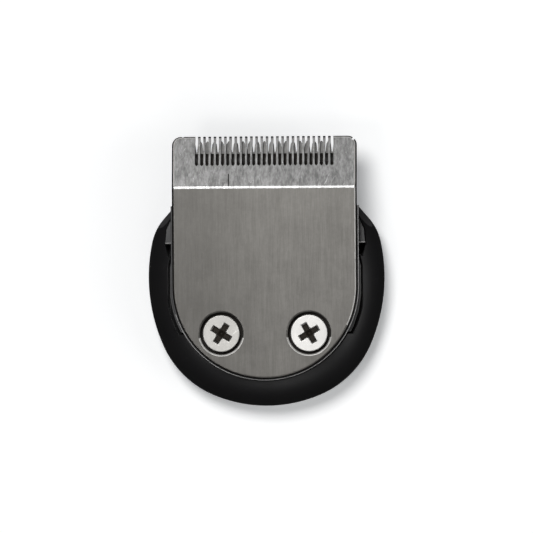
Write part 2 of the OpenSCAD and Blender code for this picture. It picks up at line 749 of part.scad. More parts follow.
// A forked leaf of spring steel: its foot under the frame's boss, its two arms under the carrier's bar
module pressure_spring() {
    foot = spring_foot_y;
    tip_z = bar_under(spring_tip_y) - spring_gap;
    // the tips end in a short level land that bears on the bar
    land_l = 0.5;
    color("#b5b3ae") difference() {
        intersection() {
            rotate([90, 0, 90]) translate([0, 0, -spring_w / 2]) linear_extrude(spring_w) polygon([
                [foot[0], spring_z - spring_t], [foot[1], spring_z - spring_t],
                [spring_tip_y, tip_z - 1.3 * spring_t], [spring_tip_y, tip_z],
                [spring_tip_y - land_l, tip_z], [foot[1], spring_z], [foot[0], spring_z]
            ]);
            linear_extrude(big) spring_plan();
        }
        translate([0, clip_y, 0]) cylinder(d = clip_hole_d, h = big);
    }
}

// The spring seen from above: its foot, its bridge and its two arms
module spring_plan() {
    translate([-spring_foot_w / 2, spring_foot_y[0] - 1])
        square([spring_foot_w, spring_bridge_y + spring_bridge_l - spring_foot_y[0] + 1]);
    difference() {
        translate([-spring_w / 2 - 1, spring_bridge_y]) square([spring_w + 2, big]);
        translate([-spring_w / 2 + spring_arm_w, spring_bridge_y + spring_bridge_l])
            square([spring_w - 2 * spring_arm_w, big]);
    }
}

module spring_clip() {
    color("#2b2b2e") difference() {
        translate([-spring_foot_w / 2, spring_foot_y[0], clip_z])
            cube([spring_foot_w, spring_foot_l, clip_t]);
        translate([0, clip_y, 0]) cylinder(d = clip_hole_d, h = big);
    }
}

// A small pan head screw that points up, with its head's underside at the origin
module pan_screw(head, head_h, shank, shank_len) {
    cross = 0.55 * head;
    arm = 0.16 * head;
    depth = 0.6 * head_h;
    difference() {
        union() {
            translate([0, 0, -head_h]) cylinder(d = head, h = head_h);
            translate([0, 0, -eps]) cylinder(d = shank, h = shank_len + eps);
        }
        for (turn = [0, 90]) rotate(turn) translate([-cross / 2, -arm / 2, -head_h - 1])
            cube([cross, arm, depth + 1]);
    }
}

module spring_clip_screw() {
    color("#9a9894") translate([0, clip_y, clip_z])
        pan_screw(clip_head_d, clip_head_t, clip_screw_d, clip_t + spring_t + clip_shank_l);
}

// Closes the frame from behind, with the collar around the drive, the front hooks and the rear catch
module back_cover() {
    cover_inset = shell_wall + rim_tuck * (1 - cover_z / widest_z) + cover_gap;
    color("#232326") difference() {
        union() {
            translate([0, 0, cover_z]) linear_extrude(cover_t - ledge_gap) shell_outline(cover_inset);
            translate([0, drive_y, ledge_z - collar_l])
                cylinder(d = collar_d + 2 * collar_wall, h = collar_l - cover_t + eps);
            both_sides() catch(hook_spacing / 2, hook_w, shell_front_y - hook_back, 1);
            catch(0, catch_w, heel_y - catch_behind_heel, -1);
        }
        translate([0, drive_y, 0]) cylinder(d = collar_d, h = big);
        for (x = back_screw_xs) translate([x, back_screw_y, 0]) {
            cylinder(d = back_shank_d + 2 * shank_gap, h = big);
            cylinder(d = back_head_d + 2 * head_gap, h = cover_z + back_head_t);
        }
    }
}

// A tongue that stands back from the cover and ends in a nib; way is where the nib points along Y
module catch(x, w, y, way) {
    near = y - way * tongue_t / 2;
    far = y + way * tongue_t / 2;
    tip = far + way * catch_nib;
    nib_z = tongue_foot_z + nib_h;
    translate([x - w / 2, 0, 0]) rotate([90, 0, 90]) linear_extrude(w) polygon([
        [near, cover_z + eps], [far, cover_z + eps], [far, nib_z + nib_h / 2], [tip, nib_z],
        [tip, nib_z - nib_h / 2], [y, tongue_foot_z], [near, tongue_foot_z]
    ]);
}

module back_screw(x) {
    color("#9a9894") translate([x, back_screw_y, cover_z + back_head_t])
        pan_screw(back_head_d, back_head_t, back_shank_d, back_shank_l);
}

module back_screw_left() {
    back_screw(back_screw_xs[0]);
}

module back_screw_right() {
    back_screw(back_screw_xs[1]);
}

outer_shell();
inner_frame();
cutter_carrier();
drive_fork();
pressure_spring();
spring_clip();
spring_clip_screw();
back_cover();
back_screw_left();
back_screw_right();
fixed_blade();
moving_blade();
blade_screw_left();
blade_screw_right();
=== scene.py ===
"""Looks of a detachable trimmer head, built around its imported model.

The new pieces are modelled in millimetres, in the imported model's frame, and are brought to metres when
they are finished. +Y points to the comb's tips and +Z out of the comb blade's face.
"""

import math

import bmesh
import bpy
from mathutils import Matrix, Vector


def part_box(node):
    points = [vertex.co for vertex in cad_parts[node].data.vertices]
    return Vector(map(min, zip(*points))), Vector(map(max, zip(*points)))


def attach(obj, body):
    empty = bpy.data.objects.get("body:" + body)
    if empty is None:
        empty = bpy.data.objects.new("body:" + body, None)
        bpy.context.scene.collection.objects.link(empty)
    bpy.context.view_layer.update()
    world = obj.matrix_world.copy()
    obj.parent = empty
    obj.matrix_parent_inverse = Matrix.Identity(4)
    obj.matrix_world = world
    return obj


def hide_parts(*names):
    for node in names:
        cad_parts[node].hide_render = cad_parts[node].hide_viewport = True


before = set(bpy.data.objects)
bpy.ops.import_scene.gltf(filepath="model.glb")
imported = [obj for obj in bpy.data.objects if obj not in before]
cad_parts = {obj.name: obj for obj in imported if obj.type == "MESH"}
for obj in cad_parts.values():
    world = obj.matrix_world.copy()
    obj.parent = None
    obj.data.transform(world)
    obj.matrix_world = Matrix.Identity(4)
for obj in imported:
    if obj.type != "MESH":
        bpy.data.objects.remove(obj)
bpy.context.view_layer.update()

MM = 0.001
X, Y, Z = Vector((1, 0, 0)), Vector((0, 1, 0)), Vector((0, 0, 1))
# Points closer than this are one point
WELD = 0.0005
# Cutting tools reach this far out of what they cut
OVER = 1.0
HIGH = 30.0
BODY_HOUSING, BODY_CUTTER = "housing", "cutter"


def node_box(node):
    """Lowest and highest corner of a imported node, in millimetres."""
    low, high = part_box(node)
    return low / MM, high / MM


# The comb blade, in millimetres as all that follows

BLADE_LOW, BLADE_HIGH = node_box("fixed_blade")
BLADE_T = 0.8
FACE_Z = BLADE_HIGH.z
TIP_Y = BLADE_HIGH.y
HEEL_Y = BLADE_LOW.y
HEEL_R = (BLADE_HIGH.x - BLADE_LOW.x) / 2
HEEL_CENTRE_Y = HEEL_Y + HEEL_R
BEND_Y = TIP_Y - 8.9
BEND_DEG = 18.0
BEND_R = 0.85
BEND_STEPS = 6
# How far before the bend's apex its arc starts, and how far beyond the apex the teeth reach
ARC_BACK = (BEND_R + BLADE_T) * math.tan(math.radians(BEND_DEG / 2))
LEAN_L = (TIP_Y - BEND_Y) / math.cos(math.radians(BEND_DEG))
FRONT = BEND_Y + LEAN_L
CORNER_R = 1.6
ROLLED_EDGE = 0.42
# Knocks in its front edge: place along X, how far behind the tips, and radius
NICKS = ((-14.1, 0.04, 0.2), (15.35, 0.55, 0.3))

SLOT_COUNT = 27
SLOT_PITCH = 0.901
SLOT_W = 0.57
SLOT_TIP_W = 0.46
SLOT_L = 5.5
SLOT_POINT = 0.3
SLOT_EDGE = 0.05

# The blade screws and the seats pressed into the blade for them

SCREW_LOW, SCREW_HIGH = node_box("blade_screw_left")
SCREW_X = -(SCREW_LOW.x + SCREW_HIGH.x) / 2
SCREW_Y = (SCREW_LOW.y + SCREW_HIGH.y) / 2
SCREW_TOP = SCREW_HIGH.z
SCREW_FOOT = SCREW_LOW.z
HEAD_R = (SCREW_HIGH.x - SCREW_LOW.x) / 2
HEAD_T = 1.0
SHANK_R = 1.1
SEAT_R = 3.6
SEAT_SHOULDER = 0.36
SEAT_HOLE_R = 1.6
CROSS_L = 3.85
CROSS_W = 1.07
CROSS_DEPTH = 0.55
CONE_DEPTH = 0.7

# The moving blade, in the leaning plane

CUTTER_TOP = -BLADE_T - 0.02
CUTTER_T = 0.9
CUTTER_TEETH = 21
CUTTER_PITCH = 1.235
GAP_TIP = 0.66
GAP_ROOT = 0.12
CUTTER_SIDE = 0.7
TIP_CUT = (0.2, 0.55)
CUTTER_W = CUTTER_TEETH * CUTTER_PITCH - GAP_TIP + 2 * CUTTER_SIDE
CUTTER_BACK = 0.9
CUTTER_TIP = LEAN_L - 0.7
CUTTER_ROOT = CUTTER_TIP - 2.0
HOLLOW_L = 2.6
HOLLOW_DEPTH = 0.5
HOLLOW_FRONT = CUTTER_ROOT - 0.28
PEG_HOLE_R = 0.72
PEG_X = 9.0
PEG_AT = HOLLOW_FRONT - HOLLOW_L - 1.2

# The shell: its outline is four arcs that run into each other, from the foot round to the shoulder, and
# each turn is where an arc ends, in degrees from straight down

SHELL_LOW, SHELL_HIGH = node_box("outer_shell")
FOOT_Y = SHELL_LOW.y
SHELL_FRONT_Y = SHELL_HIGH.y
SHELL_WALL = 1.6
DOME_R = 6.9
DOME_STEPS = 20
WIDEST_Z = 4.5
RIM_TUCK = 0.6
RIM_ROUND = 0.3
ARC_TURNS = (0, 23, 66, 102, 131)
ARC_RADII = (23.7, 16.6, 29.3, 9.0)
ARC_STEPS = (10, 16, 14, 10)
FRONT_WALL_H = 4.2
LEDGE_Z = 4.2
LEDGE_W = 0.9
LEDGE_T = 1.0
FLAT_W = 0.95
FLAT_START = 8.0

# The frame's outlines that the shell makes room for

FIT_GAP = 0.12
LIP = 0.25
WALL_IN = 0.3
RAIL_Z = 10.6
RAIL_T = 1.0
RAIL_OUT = 0.55
RAIL_END_OUT = 0.9
RAIL_END_Y = HEEL_Y + 8.1
WEDGE_GAP = 0.35
RAIL_STRIP = 0.56
STRIP_WIDENS = 0.3
GROOVE_W = 0.34
GROOVE_DEPTH = 0.9
LUG_OUT = 1.3
LUG_L = 5.0
LUG_Y = TIP_Y - 18.65
LUG_FOOT_Z = 6.5
LUG_TOP_Z = 10.9
LUG_LINE = ((1, 0.1), (0.85, 0.5), (0.4, 0.75), (0, 0.95))
NOTCH_L = 2.2


# Modelling helpers


def deselect_all():
    bpy.ops.object.select_all(action="DESELECT")


def activate(obj):
    deselect_all()
    obj.select_set(True)
    bpy.context.view_layer.objects.active = obj


def edit(obj):
    activate(obj)
    bpy.ops.object.mode_set(mode="EDIT")
    bpy.ops.mesh.select_all(action="DESELECT")


def leave():
    bpy.ops.object.mode_set(mode="OBJECT")


def pick(kind, test):
    """Selects the faces, edges or vertices of the mesh in edit mode that pass the test."""
    modes = {"faces": "FACE", "edges": "EDGE", "verts": "VERT"}
    bpy.ops.mesh.select_all(action="DESELECT")
    bpy.ops.mesh.select_mode(type=modes[kind])
    mesh = bmesh.from_edit_mesh(bpy.context.object.data)
    for part in getattr(mesh, kind):
        part.select_set(bool(test(part)))
    mesh.select_flush_mode()
    bmesh.update_edit_mesh(bpy.context.object.data)


def middle(part):
    """Middle of a face or an edge."""
    if isinstance(part, bmesh.types.BMFace):
        return part.calc_center_median()
    return (part.verts[0].co + part.verts[1].co) / 2


def face_outwards():
    bpy.ops.mesh.select_all(action="SELECT")
    bpy.ops.mesh.normals_make_consistent(inside=False)


def settle(obj):
    """Puts an object's place, turn and size into its mesh."""
    activate(obj)
    bpy.ops.object.transform_apply(location=True, rotation=True, scale=True)


def apply_all(obj):
    activate(obj)
    for modifier in list(obj.modifiers):
        bpy.ops.object.modifier_apply(modifier=modifier.name)


def combine(obj, tool, operation):
    """Cuts the tool out of a piece, adds it or keeps what both share, and removes the tool."""
    activate(obj)
    modifier = obj.modifiers.new("combine", "BOOLEAN")
    modifier.operation = operation
    modifier.solver = "EXACT"
    modifier.object = tool
    bpy.ops.object.modifier_apply(modifier=modifier.name)
    bpy.data.objects.remove(tool)


def cut(obj, *tools):
    for tool in tools:
        combine(obj, tool, "DIFFERENCE")


def add(obj, *tools):
    for tool in tools:
        combine(obj, tool, "UNION")


def block(low, high):
    """A box between two corners."""
    deselect_all()
    centre = [(a + b) / 2 for a, b in zip(low, high)]
    bpy.ops.mesh.primitive_cube_add(size=1, location=centre)
    made = bpy.context.object
    made.scale = [b - a for a, b in zip(low, high)]
    settle(made)
    return made


def drum(radius, low_z, high_z, place=(0, 0), vertices=96, top_radius=None):
    """A round solid along Z, or a cone where it has a second radius at its top."""
    deselect_all()
    bpy.ops.mesh.primitive_cone_add(
        vertices=vertices,
        radius1=radius,
        radius2=radius if top_radius is None else top_radius,
        depth=high_z - low_z,
        location=(*place, (low_z + high_z) / 2),
    )
    made = bpy.context.object
    settle(made)
    return made


def sketch(points):
    """A flat face with a corner on each point, made from a ring with as many vertices."""
    deselect_all()
    bpy.ops.mesh.primitive_circle_add(vertices=len(points), fill_type="NGON")
    made = bpy.context.object
    for vertex, point in zip(made.data.vertices, points):
        vertex.co = point
    return made


def slab(outline, low_z, high_z):
    """A flat solid over an outline."""
    made = sketch([(x, y, low_z) for x, y in outline])
    edit(made)
    bpy.ops.mesh.select_all(action="SELECT")
    bpy.ops.mesh.extrude_region_move(TRANSFORM_OT_translate={"value": (0, 0, high_z - low_z)})
    face_outwards()
    leave()
    return made


def arc(centre, radius, start, end, steps):
    """Points along an arc, its angles in degrees from +X."""
    turns = [math.radians(start + (end - start) * i / steps) for i in range(steps + 1)]
    return [(centre[0] + radius * math.cos(t), centre[1] + radius * math.sin(t)) for t in turns]


def join(pieces):
    deselect_all()
    for piece in pieces:
        piece.select_set(True)
    bpy.context.view_layer.objects.active = pieces[0]
    bpy.ops.object.join()
    return bpy.context.object


def copies(piece, offsets):
    """The piece and a copy of it at each further offset, joined."""
    made = [piece]
    for offset in offsets:
        other = piece.copy()
        other.data = piece.data.copy()
        bpy.context.scene.collection.objects.link(other)
        other.location = piece.location + Vector(offset)
        made.append(other)
    joined = join(made)
    settle(joined)
    return joined


def bevel_edges(test, offset, segments):
    """Rounds the edges of the mesh in edit mode that pass the test."""
    pick("edges", test)
    bpy.ops.mesh.bevel(offset=offset, segments=segments, affect="EDGES", clamp_overlap=True)


def round_edges(obj, width, segments=2, angle=30, clamp=True):
    modifier = obj.modifiers.new("round", "BEVEL")
    modifier.width = width
    modifier.segments = segments
    modifier.limit_method = "ANGLE"
    modifier.angle_limit = math.radians(angle)
    modifier.use_clamp_overlap = clamp
    apply_all(obj)


def drop_slivers(obj):
    """Takes out the faces of almost no area that a bevel leaves between crowded edges."""
    edit(obj)
    bpy.ops.mesh.select_all(action="SELECT")
    bpy.ops.mesh.remove_doubles(threshold=0.0005)
    bpy.ops.mesh.dissolve_degenerate(threshold=0.0005)
    leave()


def turn_about_x(degrees, centre):
    """Turns what is selected in edit mode about an axis along X, front end down where degrees are positive."""
    bpy.ops.transform.rotate(value=math.radians(degrees), orient_axis="X", center_override=centre)


def shade(obj, angle=35):
    activate(obj)
    bpy.ops.object.shade_smooth_by_angle(angle=math.radians(angle), keep_sharp_edges=False)
    modifier = obj.modifiers.new("weight", "WEIGHTED_NORMAL")
    modifier.keep_sharp = True
    apply_all(obj)


def wear(obj, materials):
    """Gives a piece its materials in place of those that it has."""
    while len(obj.data.materials) < len(materials):
        obj.data.materials.append(None)
    for index, material in enumerate(materials):
        obj.data.materials[index] = material


def finish_piece(obj, name, body, materials, node):
    """Brings a piece to metres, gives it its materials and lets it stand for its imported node."""
    shade(obj)
    obj.scale = (MM, MM, MM)
    settle(obj)
    obj.name = name
    obj.data.name = name
    wear(obj, materials)
    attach(obj, body)
    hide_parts(node)
    return obj


# Effects that several materials share


def put(tree, kind, inputs=(), **settings):
    """Adds a node with its settings; inputs are pairs of a socket's name and a value or another output."""
    made = tree.nodes.new(kind)
    for name, value in settings.items():
        setattr(made, name, value)
    for name, value in inputs:
        if isinstance(value, bpy.types.NodeSocket):
            tree.links.new(value, made.inputs[name])
        else:
            made.inputs[name].default_value = value
    return made


def math_node(tree, operation, first, second=0.0, third=0.0):
    made = put(tree, "ShaderNodeMath", ((0, first), (1, second), (2, third)), operation=operation)
    return made.outputs[0]


def noise(tree, vector, scale, detail=3.0, roughness=0.5):
    inputs = (("Vector", vector), ("Scale", scale), ("Detail", detail), ("Roughness", roughness))
    return put(tree, "ShaderNodeTexNoise", inputs).outputs["Fac"]


def ramp_between(tree, value, low, high, to_low=0.0, to_high=1.0):
    """A value between two limits brought to a range of its own, with soft ends."""
    inputs = (("Value", value), ("From Min", low), ("From Max", high), ("To Min", to_low), ("To Max", to_high))
    made = put(tree, "ShaderNodeMapRange", inputs, interpolation_type="SMOOTHSTEP")
    return made.outputs["Result"]


def blend_colours(tree, share, first, second, blend_type="MIX"):
    made = put(tree, "ShaderNodeMix", data_type="RGBA", blend_type=blend_type)
    for socket, value in ((made.inputs[0], share), (made.inputs[6], first), (made.inputs[7], second)):
        if isinstance(value, bpy.types.NodeSocket):
            tree.links.new(value, socket)
        else:
            socket.default_value = value
    return made.outputs[2]


def new_group(name, inputs, outputs):
    """An empty node group with its sockets; inputs are triples of name, kind and value."""
    made = bpy.data.node_groups.new(name, "ShaderNodeTree")
    for socket, kind, value in inputs:
        sort = made.interface.new_socket(name=socket, in_out="INPUT", socket_type=kind)
        sort.default_value = value
    for socket in outputs:
        made.interface.new_socket(name=socket, in_out="OUTPUT", socket_type="NodeSocketFloat")
    start = made.nodes.new("NodeGroupInput")
    end = made.nodes.new("NodeGroupOutput")
    return made, start.outputs, end.inputs


NUMBER, VECTOR = "NodeSocketFloat", "NodeSocketVector"
ORIGIN = (0.0, 0.0, 0.0)


def moulded_skin():
    """The fine spark-eroded skin of moulded plastic, and patches where it is a little glossier."""
    tree, start, end = new_group(
        "moulded_skin", (("Place", VECTOR, ORIGIN), ("Grain", NUMBER, 5.0)), ("Height", "Patches")
    )
    fine = noise(tree, start["Place"], start["Grain"], 4.0, 0.6)
    tree.links.new(fine, end["Height"])
    wide = noise(tree, start["Place"], 0.16, 3.0, 0.55)
    tree.links.new(ramp_between(tree, wide, 0.35, 0.65), end["Patches"])
    return tree


def brushed_lines():
    """Fine lines along Y, as a grinding belt leaves them."""
    tree, start, end = new_group(
        "brushed_lines",
        (("Place", VECTOR, ORIGIN), ("Fine", NUMBER, 7.0), ("Length", NUMBER, 0.06)),
        ("Tone", "Height"),
    )
    along = math_node(tree, "MULTIPLY", start["Fine"], start["Length"])
    stretch = put(tree, "ShaderNodeCombineXYZ", ((0, start["Fine"]), (1, along), (2, start["Fine"])))
    place = put(
        tree, "ShaderNodeVectorMath", ((0, start["Place"]), (1, stretch.outputs[0])), operation="MULTIPLY"
    ).outputs[0]
    coarse = noise(tree, place, 0.35, 3.0, 0.6)
    fine = noise(tree, place, 1.0, 4.0, 0.65)
    both = math_node(tree, "MULTIPLY_ADD", coarse, 0.6, math_node(tree, "MULTIPLY", fine, 0.6))
    tree.links.new(ramp_between(tree, both, 0.42, 0.78), end["Tone"])
    tree.links.new(fine, end["Height"])
    return tree


def handling_marks():
    """Scratches of use, small bright flecks and smudges."""
    tree, start, end = new_group(
        "handling_marks",
        (("Place", VECTOR, ORIGIN), ("Density", NUMBER, 1.0), ("Turn", VECTOR, (0.0, 0.0, 0.3))),
        ("Scratches", "Flecks", "Smudges", "Mottle"),
    )
    turned = put(tree, "ShaderNodeMapping", (("Vector", start["Place"]), ("Rotation", start["Turn"])))
    thin = put(tree, "ShaderNodeMapping", (("Vector", turned.outputs[0]), ("Scale", (1.1, 0.12, 0.5))))
    line = noise(tree, thin.outputs[0], start["Density"], 1.0, 0.4)
    away = math_node(tree, "ABSOLUTE", math_node(tree, "SUBTRACT", line, 0.5))
    on_line = ramp_between(tree, away, 0.0, 0.011, 1.0, 0.0)
    broken = ramp_between(tree, noise(tree, start["Place"], 0.7, 2.0), 0.5, 0.62)
    tree.links.new(math_node(tree, "MULTIPLY", on_line, broken), end["Scratches"])
    cells = put(tree, "ShaderNodeTexVoronoi", (("Vector", start["Place"]), ("Scale", 2.6)))
    near = ramp_between(tree, cells.outputs["Distance"], 0.03, 0.16, 1.0, 0.0)
    chosen = ramp_between(tree, noise(tree, start["Place"], 1.3, 2.0), 0.56, 0.66)
    tree.links.new(math_node(tree, "MULTIPLY", near, chosen), end["Flecks"])
    soft = noise(tree, start["Place"], 0.22, 3.0, 0.6)
    tree.links.new(ramp_between(tree, soft, 0.3, 0.7), end["Smudges"])
    uneven = noise(tree, start["Place"], 1.4, 5.0, 0.65)
    tree.links.new(ramp_between(tree, uneven, 0.36, 0.64), end["Mottle"])
    return tree


def turned_rings():
    """The rings that turning leaves around the middle of a screw's head; a pair mirrors across X."""
    tree, start, end = new_group(
        "turned_rings",
        (("Place", VECTOR, ORIGIN), ("Centre", VECTOR, ORIGIN), ("Fine", NUMBER, 6.0)),
        ("Tone", "Height"),
    )
    parts = put(tree, "ShaderNodeSeparateXYZ", ((0, start["Place"]),)).outputs
    side = math_node(tree, "ABSOLUTE", parts[0])
    flat = put(tree, "ShaderNodeCombineXYZ", ((0, side), (1, parts[1])))
    away = put(
        tree, "ShaderNodeVectorMath", ((0, flat.outputs[0]), (1, start["Centre"])), operation="DISTANCE"
    )
    radius = math_node(tree, "MULTIPLY", away.outputs["Value"], start["Fine"])
    rings = put(tree, "ShaderNodeTexNoise", (("W", radius), ("Detail", 3.0)), noise_dimensions="1D")
    tree.links.new(ramp_between(tree, rings.outputs["Fac"], 0.3, 0.7), end["Tone"])
    tree.links.new(rings.outputs["Fac"], end["Height"])
    return tree


def painted_low_shade():
    """Painted shade in low places: a share that is none above the unshaded height and all below the dark one, with an
    uneven edge.
    """
    tree, start, end = new_group(
        "painted_low_shade",
        (("Place", VECTOR, ORIGIN), ("Unshaded", NUMBER, 13.9), ("Dark", NUMBER, 13.5)),
        ("PaintedShade",),
    )
    height = put(tree, "ShaderNodeSeparateXYZ", ((0, start["Place"]),)).outputs[2]
    uneven = math_node(tree, "SUBTRACT", noise(tree, start["Place"], 1.6, 3.0), 0.5)
    shifted = math_node(tree, "MULTIPLY_ADD", uneven, 0.12, height)
    tree.links.new(ramp_between(tree, shifted, start["Dark"], start["Unshaded"], 1.0, 0.0), end["PaintedShade"])
    return tree


GROUPS = {
    made.name: made
    for made in (moulded_skin(), brushed_lines(), handling_marks(), turned_rings(), painted_low_shade())
}


def new_material(name):
    """A material with its tree, its shader and its place on the piece in millimetres."""
    made = bpy.data.materials.new(name)
    made.use_nodes = True
    tree = made.node_tree
    place = put(
        tree,
        "ShaderNodeMapping",
        (
            ("Vector", tree.nodes.new("ShaderNodeTexCoord").outputs["Object"]),
            ("Scale", (1 / MM, 1 / MM, 1 / MM)),
        ),
    )
    return made, tree, tree.nodes["Principled BSDF"], place.outputs[0]


def use_group(tree, name, place, inputs=()):
    made = tree.nodes.new("ShaderNodeGroup")
    made.node_tree = GROUPS[name]
    tree.links.new(place, made.inputs["Place"])
    for socket, value in inputs:
        made.inputs[socket].default_value = value
    return made.outputs


def bump(tree, shader, height, distance, strength=1.0):
    """Raises a surface by a height map; the distance is in millimetres."""
    made = put(tree, "ShaderNodeBump", (("Strength", strength), ("Distance", distance * MM), ("Height", height)))
    tree.links.new(made.outputs[0], shader.inputs["Normal"])


def opaque(colour):
    return (*colour, 1.0)


def steel_material(
    name, dark, light, roughness, fine, length, depth, flecks, mottle=0.1, shade_heights=(0.0, -1.0), painted_side_shade=0.0,
    score=None,
):
    """Brushed or ground steel; the shade heights are the unshaded and the dark height of the painted shade in low
    places, and the side share paints shade towards the part's left side.

    A score is a dark scratch along the part, given by its x, its middle's y and half its length.
    """
    made, tree, shader, place = new_material(name)
    lines = use_group(tree, "brushed_lines", place, (("Fine", fine), ("Length", length)))
    marks = use_group(tree, "handling_marks", place, (("Density", 1.0),))
    colour = blend_colours(tree, lines["Tone"], opaque(dark), opaque(light))
    # painted shade: the part is darkened towards its left side, for the light's fall-off across it
    if painted_side_shade:
        side = put(tree, "ShaderNodeSeparateXYZ", ((0, place),)).outputs[0]
        share = ramp_between(tree, side, -HEEL_R, 0.3 * HEEL_R, painted_side_shade, 0.0)
        colour = blend_colours(tree, share, colour, opaque([0.45 * part for part in dark]))
    blotch = math_node(tree, "MULTIPLY", marks["Mottle"], mottle)
    colour = blend_colours(tree, blotch, colour, opaque([0.4 * part for part in dark]))
    bright = opaque([min(1.0, 2.2 * part) for part in light])
    colour = blend_colours(tree, math_node(tree, "MULTIPLY", marks["Flecks"], flecks), colour, bright)
    colour = blend_colours(tree, math_node(tree, "MULTIPLY", marks["Scratches"], 0.3 * flecks), colour, bright)
    if score:
        spot = put(tree, "ShaderNodeSeparateXYZ", ((0, place),)).outputs
        across = math_node(tree, "ABSOLUTE", math_node(tree, "SUBTRACT", spot[0], score[0]))
        along = math_node(tree, "ABSOLUTE", math_node(tree, "SUBTRACT", spot[1], score[1]))
        on_line = ramp_between(tree, across, 0.05, 0.12, 1.0, 0.0)
        inside = ramp_between(tree, along, 0.8 * score[2], score[2], 1.0, 0.0)
        colour = blend_colours(tree, math_node(tree, "MULTIPLY", on_line, inside), colour, (0.012, 0.011, 0.01, 1))
    # painted shade: brown-black and less metallic below the shade heights, in the seats and on the edges' lower parts
    if shade_heights[1] > 0:
        low = use_group(tree, "painted_low_shade", place, (("Unshaded", shade_heights[0]), ("Dark", shade_heights[1])))
        colour = blend_colours(tree, low["PaintedShade"], colour, (0.010, 0.007, 0.004, 1))
        shader_metal = math_node(tree, "MULTIPLY_ADD", low["PaintedShade"], -0.8, 1.0)
        tree.links.new(shader_metal, shader.inputs["Metallic"])
    else:
        shader.inputs["Metallic"].default_value = 1.0
    tree.links.new(colour, shader.inputs["Base Color"])
    gloss = ramp_between(tree, marks["Smudges"], 0.0, 1.0, roughness - 0.012, roughness + 0.012)
    if shade_heights[1] > 0:
        gloss = math_node(tree, "MULTIPLY_ADD", low["PaintedShade"], 0.45, gloss)
    tree.links.new(gloss, shader.inputs["Roughness"])
    bump(tree, shader, lines["Height"], depth)
    return made


def nickel_material(name, light, roughness, centre, shade_heights):
    """A plated screw with turning rings around its middle."""
    made, tree, shader, place = new_material(name)
    rings = use_group(tree, "turned_rings", place, (("Centre", centre), ("Fine", 5.0)))
    marks = use_group(tree, "handling_marks", place, (("Density", 1.6), ("Turn", (0.0, 0.0, 0.9))))
    # painted shade: darker and less metallic below the shade heights, in the cross recess
    low = use_group(tree, "painted_low_shade", place, (("Unshaded", shade_heights[0]), ("Dark", shade_heights[1])))
    dark = opaque([0.72 * part for part in light])
    colour = blend_colours(tree, rings["Tone"], dark, opaque(light))
    colour = blend_colours(tree, math_node(tree, "MULTIPLY", marks["Smudges"], 0.35), colour, dark)
    colour = blend_colours(tree, math_node(tree, "MULTIPLY", marks["Scratches"], 0.3), colour, (0.95, 0.94, 0.9, 1))
    colour = blend_colours(tree, low["PaintedShade"], colour, (0.02, 0.015, 0.010, 1))
    tree.links.new(colour, shader.inputs["Base Color"])
    tree.links.new(math_node(tree, "MULTIPLY_ADD", low["PaintedShade"], -0.6, 1.0), shader.inputs["Metallic"])
    gloss = ramp_between(tree, marks["Smudges"], 0.0, 1.0, roughness - 0.02, roughness + 0.03)
    gloss = math_node(tree, "MULTIPLY_ADD", low["PaintedShade"], 0.3, gloss)
    tree.links.new(gloss, shader.inputs["Roughness"])
    bump(tree, shader, rings["Height"], 0.004)
    return made


def plastic_material(name, colour, glossier, roughness, grain, depth):
    """Moulded plastic with its skin, glossier patches where it was handled, and faint scratches."""
    made, tree, shader, place = new_material(name)
    skin = use_group(tree, "moulded_skin", place, (("Grain", grain),))
    marks = use_group(tree, "handling_marks", place, (("Density", 0.8), ("Turn", (0.0, 0.0, 1.1))))
    worn = opaque([1.35 * part + 0.002 for part in colour])
    share = math_node(tree, "MULTIPLY", skin["Patches"], 0.5)
    mixed = blend_colours(tree, share, opaque(colour), worn)
    pale = opaque([min(1.0, 2.5 * part + 0.01) for part in colour])
    mixed = blend_colours(tree, math_node(tree, "MULTIPLY", marks["Scratches"], 0.35), mixed, pale)
    tree.links.new(mixed, shader.inputs["Base Color"])
    gloss = ramp_between(tree, skin["Patches"], 0.0, 1.0, roughness, roughness - glossier)
    tree.links.new(gloss, shader.inputs["Roughness"])
    bump(tree, shader, skin["Height"], depth)
    return made


# painted shade on the plate's left side and in its seats
plate_steel = steel_material(
    "brushed_plate", (0.135, 0.130, 0.121), (0.163, 0.157, 0.147), 0.318, 6.0, 0.05, 0.0008, 0.15, 0.1,
    shade_heights=(FACE_Z - 0.06, FACE_Z - 0.2), painted_side_shade=0.47,
)
ground_steel = steel_material(
    "ground_teeth", (0.15, 0.149, 0.147), (0.315, 0.314, 0.311), 0.318, 4.0, 0.16, 0.002, 1.6, 0.17,
    score=(-6.18, 15.75, 1.2),
)
# painted shade: darker steel on the slots' walls
slot_wall_shade = steel_material(
    "painted_shade_slot_walls", (0.04, 0.036, 0.032), (0.09, 0.085, 0.078), 0.42, 5.0, 0.1, 0.002, 0.2
)
# painted shade: near-black steel on the steep rolled edges, the tips and the slots' rims near the tips
dark_edge_paint = steel_material(
    "painted_dark_edges", (0.02, 0.018, 0.016), (0.05, 0.047, 0.044), 0.45, 5.0, 0.1, 0.001, 0.3
)
# painted highlight: pale steel on the slots' rims near their roots, the seats' lower shoulders and thin lines along
# the blade's edges
highlight_steel = steel_material(
    "painted_highlights", (0.42, 0.415, 0.4), (0.6, 0.59, 0.57), 0.5, 5.0, 0.1, 0.001, 0.3
)
highlight_steel.node_tree.nodes["Principled BSDF"].inputs["Metallic"].default_value = 0.35
# painted shade: the cutter's steel darker than the comb's, for the comb's shadow on it
cutter_steel = steel_material(
    "cutter_steel", (0.12, 0.118, 0.115), (0.2, 0.197, 0.192), 0.33, 5.0, 0.08, 0.0015, 0.4
)
spring_steel = steel_material(
    "spring_steel", (0.3, 0.29, 0.26), (0.46, 0.45, 0.41), 0.3, 3.5, 0.05, 0.0015, 0.2
)
